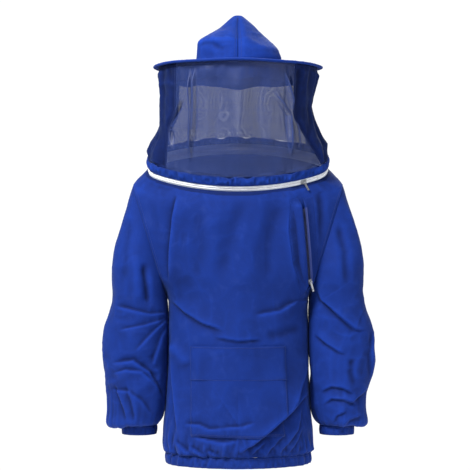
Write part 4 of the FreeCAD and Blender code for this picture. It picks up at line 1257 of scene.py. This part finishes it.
class JACKET_OT_veil(bpy.types.Operator):
    """Makes the gathered neck band, the nets, the side cloths and the valances under the brim"""
    bl_idname = "jacket.veil"
    bl_label = "Veil"

    def execute(self, context):
        rows = 110
        t = np.linspace(0, 1, rows)
        split = {}
        for side in (-1, 1):
            split[side, False] = veil_split(t, side, False)
            split[side, True] = veil_split(t, side, True)
        for name, node, back, folds in (("front_net", "front_net", False, NET_PLEATS),
                                        ("rear_net", "rear_net", True, REAR_PLEATS)):
            s = np.linspace(-1, 1, 230)
            run = np.where(s < 0, split[-1, back][:, None], split[1, back][:, None]) * s[None, :]
            tt = np.broadcast_to(t[:, None], run.shape)
            around = 2.0 - run if back else run
            if back:
                around = around[:, ::-1]
            p = veil_shape(around, tt)
            n = normals(p)
            facing = n[..., 1] if back else -n[..., 1]
            height = veil_relief(p, tt, 101 + back, 0.0035)
            ends = smooth((1 - np.abs(s))[None, :] / 0.05)
            ends = ends * smooth(t / 0.06)[:, None] * smooth((1 - t) / 0.05)[:, None]
            height = height * ends + fold_field(p, folds, facing) * ends
            q = p + n * height[..., None]
            obj = grid_mesh(name + "_mesh", q)
            place_piece(obj, "hood", "veil_net", [node])
        for side, name in ((1, "left_veil_panel"), (-1, "right_veil_panel")):
            s = np.linspace(0, 1, 130)
            start = split[side, False][:, None]
            end = 2.0 - split[side, True][:, None]
            run = start + (end - start) * s[None, :]
            tt = np.broadcast_to(t[:, None], run.shape)
            around = run if side > 0 else 4.0 - run[:, ::-1]
            p = veil_shape(around, tt)
            n = normals(p)
            ends = smooth(s / 0.07) * smooth((1 - s) / 0.07)
            if side < 0:
                ends = ends[::-1]
            ends = ends[None, :] * smooth(t / 0.05)[:, None] * smooth((1 - t) / 0.05)[:, None]
            height = (veil_relief(p, tt, 111 + side, 0.0120) + 0.002 * crumple(p, 0.04, 115 + side)) * ends
            # the cloth falls in under the brim and swells again above the neck band
            fall = -0.012 if side > 0 else -0.003
            wave = np.interp(t, [0, 0.2, 0.45, 0.7, 1.0], [0, 0.003, -0.002, fall, 0])
            height += wave[:, None] * smooth(np.minimum(s, 1 - s) / 0.3)[None, :]
            q = p + n * height[..., None]
            obj = thicken(grid_mesh(name + "_cloth", q), 0.0010)
            # the side cloth wears the darkened copy of the hat cloth, painted shade under the brim
            place_piece(obj, "hood", "veil_twill_painted_shade", [name])
            edge = q + normals(q) * STITCH_LIFT
            stitch_line(name + "_stitches", [(edge[:, 2], False), (edge[:, -3], False)], "hood")
        self.neck_band()
        self.valances()
        return {"FINISHED"}

    def neck_band(self):
        rows, cols = 14, 760
        run = np.linspace(0, 4, cols, endpoint=False)
        levels = np.linspace(0.0063, 0.0302, rows)
        p = np.array([ring_points(run, n, 0.0016) for n in levels])
        n = normals(p, wrap=True)
        line = p * [1, 1, 0.3]
        wave = 0.6 * noise(line, 0.0115, 121) + 0.4 * noise(line, 0.0058, 122)
        t = np.linspace(0, 1, rows)[:, None]
        swell = np.sin(math.pi * np.clip(t, 0, 1)) + 0.4 * t
        height = 0.0052 * wave * swell + 0.0026 * np.sin(math.pi * t)
        q = p + n * height[..., None]
        q[..., 2] += 0.0034 * noise(line, 0.021, 123) * t ** 2
        obj = thicken(grid_mesh("neck_band_cloth", q, wrap=True), 0.0012)
        place_piece(obj, "hood", "hat_twill", ["neck_band"])
        up = q + normals(q, wrap=True) * STITCH_LIFT
        stitch_line("neck_band_stitches", [(up[1], True), (up[12], True)], "hood")

    def valances(self):
        for name, back in (("front_valance", False), ("rear_valance", True)):
            lo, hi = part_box(name)
            radius = 0.5 * (hi[0] - lo[0]) - 0.0016
            rows, cols = 26, 520
            half = 0.985 * math.pi / 2
            a = np.linspace(-half, half, cols)
            t = np.linspace(0, 1, rows)[:, None]
            depth = 0.034 + 0.005 * noise(np.stack([a, 0 * a, 0 * a], -1), 0.35, 131)
            if not back:
                depth = depth + 0.010 * smooth((a - 0.35) / 0.4)
            z = hi[2] - 0.0005 - depth[None, :] * (1 - t)
            sign = 1.0 if back else -1.0
            r = radius + 0 * t + 0 * a
            p = np.stack([-sign * r * np.sin(a), sign * r * np.cos(a), z], -1)
            n = normals(p)
            line = p * [1, 1, 0.3]
            wave = 0.65 * noise(line, 0.020, 133 + back) + 0.35 * noise(line, 0.009, 135)
            height = 0.0070 * wave * (1 - t) ** 0.8 + 0.0012 * wave
            q = p + n * height[..., None]
            obj = thicken(grid_mesh(name + "_cloth", q), 0.0010)
            # the valance wears the brightened copy of the hat cloth, painted light under the brim
            place_piece(obj, "hood", "valance_twill_painted_light", [name])
            edge = q + normals(q) * STITCH_LIFT
            stitch_line(name + "_stitches", [(edge[3], False)], "hood")


# ------------------------------------------------------------------ hat
def brim_wave(angle, r):
    """Lift of the soft brim between the crown and the hoop, most at the rim."""
    share = np.clip((r - CROWN_FOOT_R) / (BRIM_R - CROWN_FOOT_R), 0, 1)
    wave = 0.0016 * np.sin(2 * angle + 0.6) + 0.0011 * np.sin(3 * angle - 0.4) + 0.0006 * np.sin(7 * angle)
    return wave * share ** 1.5


def brim_grid(rows, cols, r0, r1, z, sign, seed):
    a = np.linspace(0, 2 * math.pi, cols, endpoint=False)
    r = np.linspace(r1, r0, rows)[:, None] + 0 * a
    aa = a + 0 * r
    p = np.stack([r * np.cos(aa), r * np.sin(aa), z + 0 * r], -1)
    share = (r - r0) / (r1 - r0)
    puff = 0.0013 * noise(p, (0.03, 0.03, 0.03), seed) + 0.0006 * noise(p, (0.012, 0.012, 0.02), seed + 1)
    channel = -0.0006 * np.exp(-((r[:, :] - (r1 - 0.010)) / 0.0015) ** 2)
    for inner in (0.035, 0.060, 0.085):
        channel -= 0.0005 * np.exp(-((r - (r1 - inner)) / 0.0014) ** 2)
    hold = np.sin(math.pi * share) ** 0.5
    p[..., 2] += brim_wave(aa, r) + sign * (np.abs(puff) * hold + channel + 0.0006)
    return p


# Outlines of the crown from its peak to its foot: radius, height
CROWN_RIGHT = [(0.0, 0.4283), (0.010, 0.4262), (0.050, 0.3870), (0.0955, 0.3400), (0.1030, 0.3220),
               (0.1035, 0.2995)]
CROWN_LEFT = [(0.0, 0.4283), (0.010, 0.4262), (0.045, 0.3945), (0.0830, 0.3690), (0.0955, 0.3600),
              (0.0990, 0.3220), (0.1030, 0.2995)]


def crown_points(angle, t):
    """The crown's cone, fuller at its right side than at its left, which breaks to a kink."""
    out = []
    for profile in (CROWN_RIGHT, CROWN_LEFT):
        q = np.array(profile)
        keys = np.concatenate([[0.0], np.cumsum(np.linalg.norm(np.diff(q, axis=0), axis=1))])
        keys /= keys[-1]
        shifted = [np.clip(t + shift, 0, 1) for shift in (0.0, -0.02, 0.02)]
        out.append([sum(np.interp(u, keys, q[:, k]) for u in shifted) / 3 for k in (0, 1)])
    mix = smooth(0.5 + 0.75 * np.cos(angle))
    r = out[0][0] * mix + out[1][0] * (1 - mix)
    z = out[0][1] * mix + out[1][1] * (1 - mix)
    return np.stack([r * np.cos(angle), r * np.sin(angle), z], -1)


class JACKET_OT_hat(bpy.types.Operator):
    """Makes the hat's four crown gores, two-ply brim, bound hoop, sweatband and elastic"""
    bl_idname = "jacket.hat"
    bl_label = "Hat"

    def execute(self, context):
        gores = {"rear_left": 0.0, "rear_right": 90.0, "front_right": 180.0, "front_left": 270.0}
        lines = []
        for name, start in gores.items():
            rows, cols = 74, 64
            t = np.linspace(1.0, 0.004, rows)[:, None]
            s = np.linspace(0, 1, cols)[None, :]
            angle = np.radians(start) + s * math.pi / 2 + 0 * t
            p = crown_points(angle, t + 0 * s)
            n = normals(p)
            seam = np.minimum(s, 1 - s)
            reach = np.hypot(p[..., 0], p[..., 1])
            full = 1 - np.exp(-seam * reach * 1.57 / 0.006)
            fade = smooth((1 - t) / 0.06) * smooth(t / 0.12)
            height = 0.0030 * full * fade
            height = height + 0.0045 * noise(p, (0.045, 0.05, 0.04), 141) * fade * smooth(seam / 0.2)
            height = height + 0.0011 * crumple(p, (0.035, 0.035, 0.03), 145) * fade * smooth(seam / 0.1)
            if name == "front_right":
                d, share = line_distance(p, [(-90, 356), (-60, 350), (-30, 330)])
                kink = np.exp(-(d / 0.008) ** 2) * smooth(share / 0.1) * smooth((1 - share) / 0.4)
                height = height - 0.004 * kink
            q = p + n * height[..., None]
            obj = thicken(grid_mesh("crown_" + name, q), 0.0011)
            place_piece(obj, "hood", "hat_twill", ["crown_panel_" + name])
            up = q + normals(q) * STITCH_LIFT
            lines += [(up[:66, 3], False), (up[:66, -4], False), (up[2, :], False)]
        stitch_line("crown_stitches", lines, "hood")
        self.brim()
        self.inside()
        return {"FINISHED"}

    def brim(self):
        inner = CROWN_FOOT_R - 0.003
        outer = BRIM_R - 0.0030
        top = brim_grid(40, 420, inner, outer, BRIM_Z + 0.0006, 1.0, 151)
        obj = thicken(grid_mesh("brim_upper", top, wrap=True), 0.0006)
        place_piece(obj, "hood", "hat_twill", ["brim_top_ply"])
        under = brim_grid(40, 420, inner, outer, BRIM_Z - 0.0006, -1.0, 153)
        obj = thicken(grid_mesh("brim_under", under[:, ::-1], wrap=True), 0.0006)
        place_piece(obj, "hood", "hat_twill", ["brim_under_ply"])
        # the bound hoop, a narrow turned edge with its own puckers
        a = np.linspace(0, 2 * math.pi, 600, endpoint=False)
        b = np.linspace(0, 2 * math.pi, 13)[:, None]
        centre = BRIM_R - 0.0036
        pucker = noise(np.stack([np.cos(a) * 0.2, np.sin(a) * 0.2, 0 * a], -1), 0.006, 157)
        tube = 0.0033 + 0.0003 * pucker[None, :] + 0 * b
        r = centre + tube * np.cos(b)
        z = BRIM_Z + tube * np.sin(b) + brim_wave(a, centre + 0 * a)[None, :]
        p = np.stack([r * np.cos(a), r * np.sin(a), z], -1)
        hoop = grid_mesh("brim_hoop", p, wrap=True)
        place_piece(hoop, "hood", "hat_twill", ["brim_binding", "hoop_wire", "hoop_ferrule"])
        lines = []
        for q in (top, under):
            sign = 1 if q is top else -1
            rr = np.hypot(q[:, 0, 0], q[:, 0, 1])
            for gap in (0.010, 0.035, 0.060, 0.085):
                k = int(np.argmin(np.abs(rr - (outer - gap))))
                lines.append((q[k] + np.array([0, 0, sign * STITCH_LIFT]), True))
        stitch_line("brim_stitches", lines, "hood")

    def inside(self):
        a = np.linspace(0, 2 * math.pi, 240, endpoint=False)
        for name, node, mat, slot_name, wall in (
                ("sweatband_cotton", "sweatband", "sweatband_drill", "sweatband", 0.0014),
                ("hat_elastic_band", "hat_elastic", "hat_elastic_knit", "elastic", 0.0009)):
            lo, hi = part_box(node)
            t = np.linspace(0, 1, 14)[:, None]
            ripple = 0.0007 * noise(np.stack([np.cos(a) * 0.1, np.sin(a) * 0.1, 0 * a], -1), 0.009, 161)
            r = hi[0] - 0.0004 - 0.0006 * np.sin(math.pi * t) + ripple[None, :] * np.sin(math.pi * t)
            z = lo[2] + (hi[2] - lo[2]) * t + 0 * a
            p = np.stack([r * np.cos(a), r * np.sin(a), z], -1)
            obj = thicken(grid_mesh(name, p, wrap=True), wall)
            place_piece(obj, "hood", mat, [node])


# ------------------------------------------------------------------ stage
FLOOR_Z = -0.92
FLOOR_RADIUS = 1.4
EYE = (-0.0074, -4.0, -0.110)
VIEW_WIDTH = 1.1515             # shown across the middle of the jacket
LIGHTS = (                      # name, place, size, watts
    ("key_light", (-2.0, -2.6, 2.8), 1.1, 400.0),
    ("fill_light", (2.8, -2.6, 0.4), 1.6, 62.0),
    ("back_light", (0.6, 3.0, 2.2), 1.8, 130.0),
)


class JACKET_OT_stage(bpy.types.Operator):
    """Sets the pale floor, soft studio light and camera"""
    bl_idname = "jacket.stage"
    bl_label = "Stage"

    def execute(self, context):
        scene = context.scene
        scene.view_settings.view_transform = "Standard"
        world = bpy.data.worlds.new("studio")
        scene.world = world
        world.use_nodes = True
        tree = world.node_tree
        tree.nodes.clear()
        out = tree.nodes.new("ShaderNodeOutputWorld")
        path = tree.nodes.new("ShaderNodeLightPath")
        seen = new_node(tree, "ShaderNodeBackground", {"Color": (1, 1, 1, 1), "Strength": 1.05})
        given = new_node(tree, "ShaderNodeBackground", {"Color": (0.95, 0.97, 1, 1), "Strength": 0.53})
        mix = new_node(tree, "ShaderNodeMixShader",
                       {0: path.outputs["Is Camera Ray"], 1: given.outputs[0], 2: seen.outputs[0]})
        tree.links.new(mix.outputs[0], out.inputs["Surface"])
        a = np.linspace(0, 2 * math.pi, 128, endpoint=False)
        r = np.linspace(FLOOR_RADIUS, 0.02, 24)[:, None]
        p = np.stack([r * np.cos(a), r * np.sin(a), FLOOR_Z + 0 * r * a], -1)
        floor = grid_mesh("floor", p, wrap=True)
        _, nodes, bsdf = base_material("pale_floor")
        patch = cloudy(nodes, object_place(nodes), 3.0, 4.0)
        tone = two_tone(nodes, patch, (0.80, 0.80, 0.80, 1), (0.86, 0.86, 0.85, 1))
        nodes.links.new(tone, bsdf.inputs["Base Color"])
        bsdf.inputs["Roughness"].default_value = 0.8
        wear(floor, "pale_floor")
        for name, spot, size, power in LIGHTS:
            lamp = bpy.data.lights.new(name, "AREA")
            lamp.energy = power
            lamp.size = size
            obj = bpy.data.objects.new(name, lamp)
            obj.location = spot
            aim = Vector((0, 0, -0.1)) - Vector(spot)
            obj.rotation_euler = aim.to_track_quat("-Z", "Y").to_euler()
            scene.collection.objects.link(obj)
        eye = bpy.data.cameras.new("camera")
        eye.angle = 2 * math.atan(VIEW_WIDTH / 2 / -EYE[1])
        camera = bpy.data.objects.new("camera", eye)
        camera.location = EYE
        camera.rotation_euler = (math.pi / 2, 0, 0)
        scene.collection.objects.link(camera)
        scene.camera = camera
        return {"FINISHED"}


STEPS = (JACKET_OT_materials, JACKET_OT_stage, JACKET_OT_torso, JACKET_OT_hem, JACKET_OT_pocket,
         JACKET_OT_sleeves, JACKET_OT_zips, JACKET_OT_veil, JACKET_OT_hat)


class JACKET_PT_panel(bpy.types.Panel):
    bl_label = "Beekeeping Jacket"
    bl_idname = "JACKET_PT_panel"
    bl_space_type = "VIEW_3D"
    bl_region_type = "UI"
    bl_category = "Jacket"

    def draw(self, context):
        for name in JacketSettings.__annotations__:
            self.layout.prop(context.scene.jacket, name)
        for step in STEPS:
            self.layout.operator(step.bl_idname)


CLASSES = (JacketSettings, *STEPS, JACKET_PT_panel)


def register():
    for c in CLASSES:
        bpy.utils.register_class(c)
    bpy.types.Scene.jacket = bpy.props.PointerProperty(type=JacketSettings)


def unregister():
    del bpy.types.Scene.jacket
    for c in reversed(CLASSES):
        bpy.utils.unregister_class(c)


def main():
    register()
    for step in STEPS:
        group, name = step.bl_idname.split(".")
        getattr(getattr(bpy.ops, group), name)()


if __name__ == "__main__":
    main()
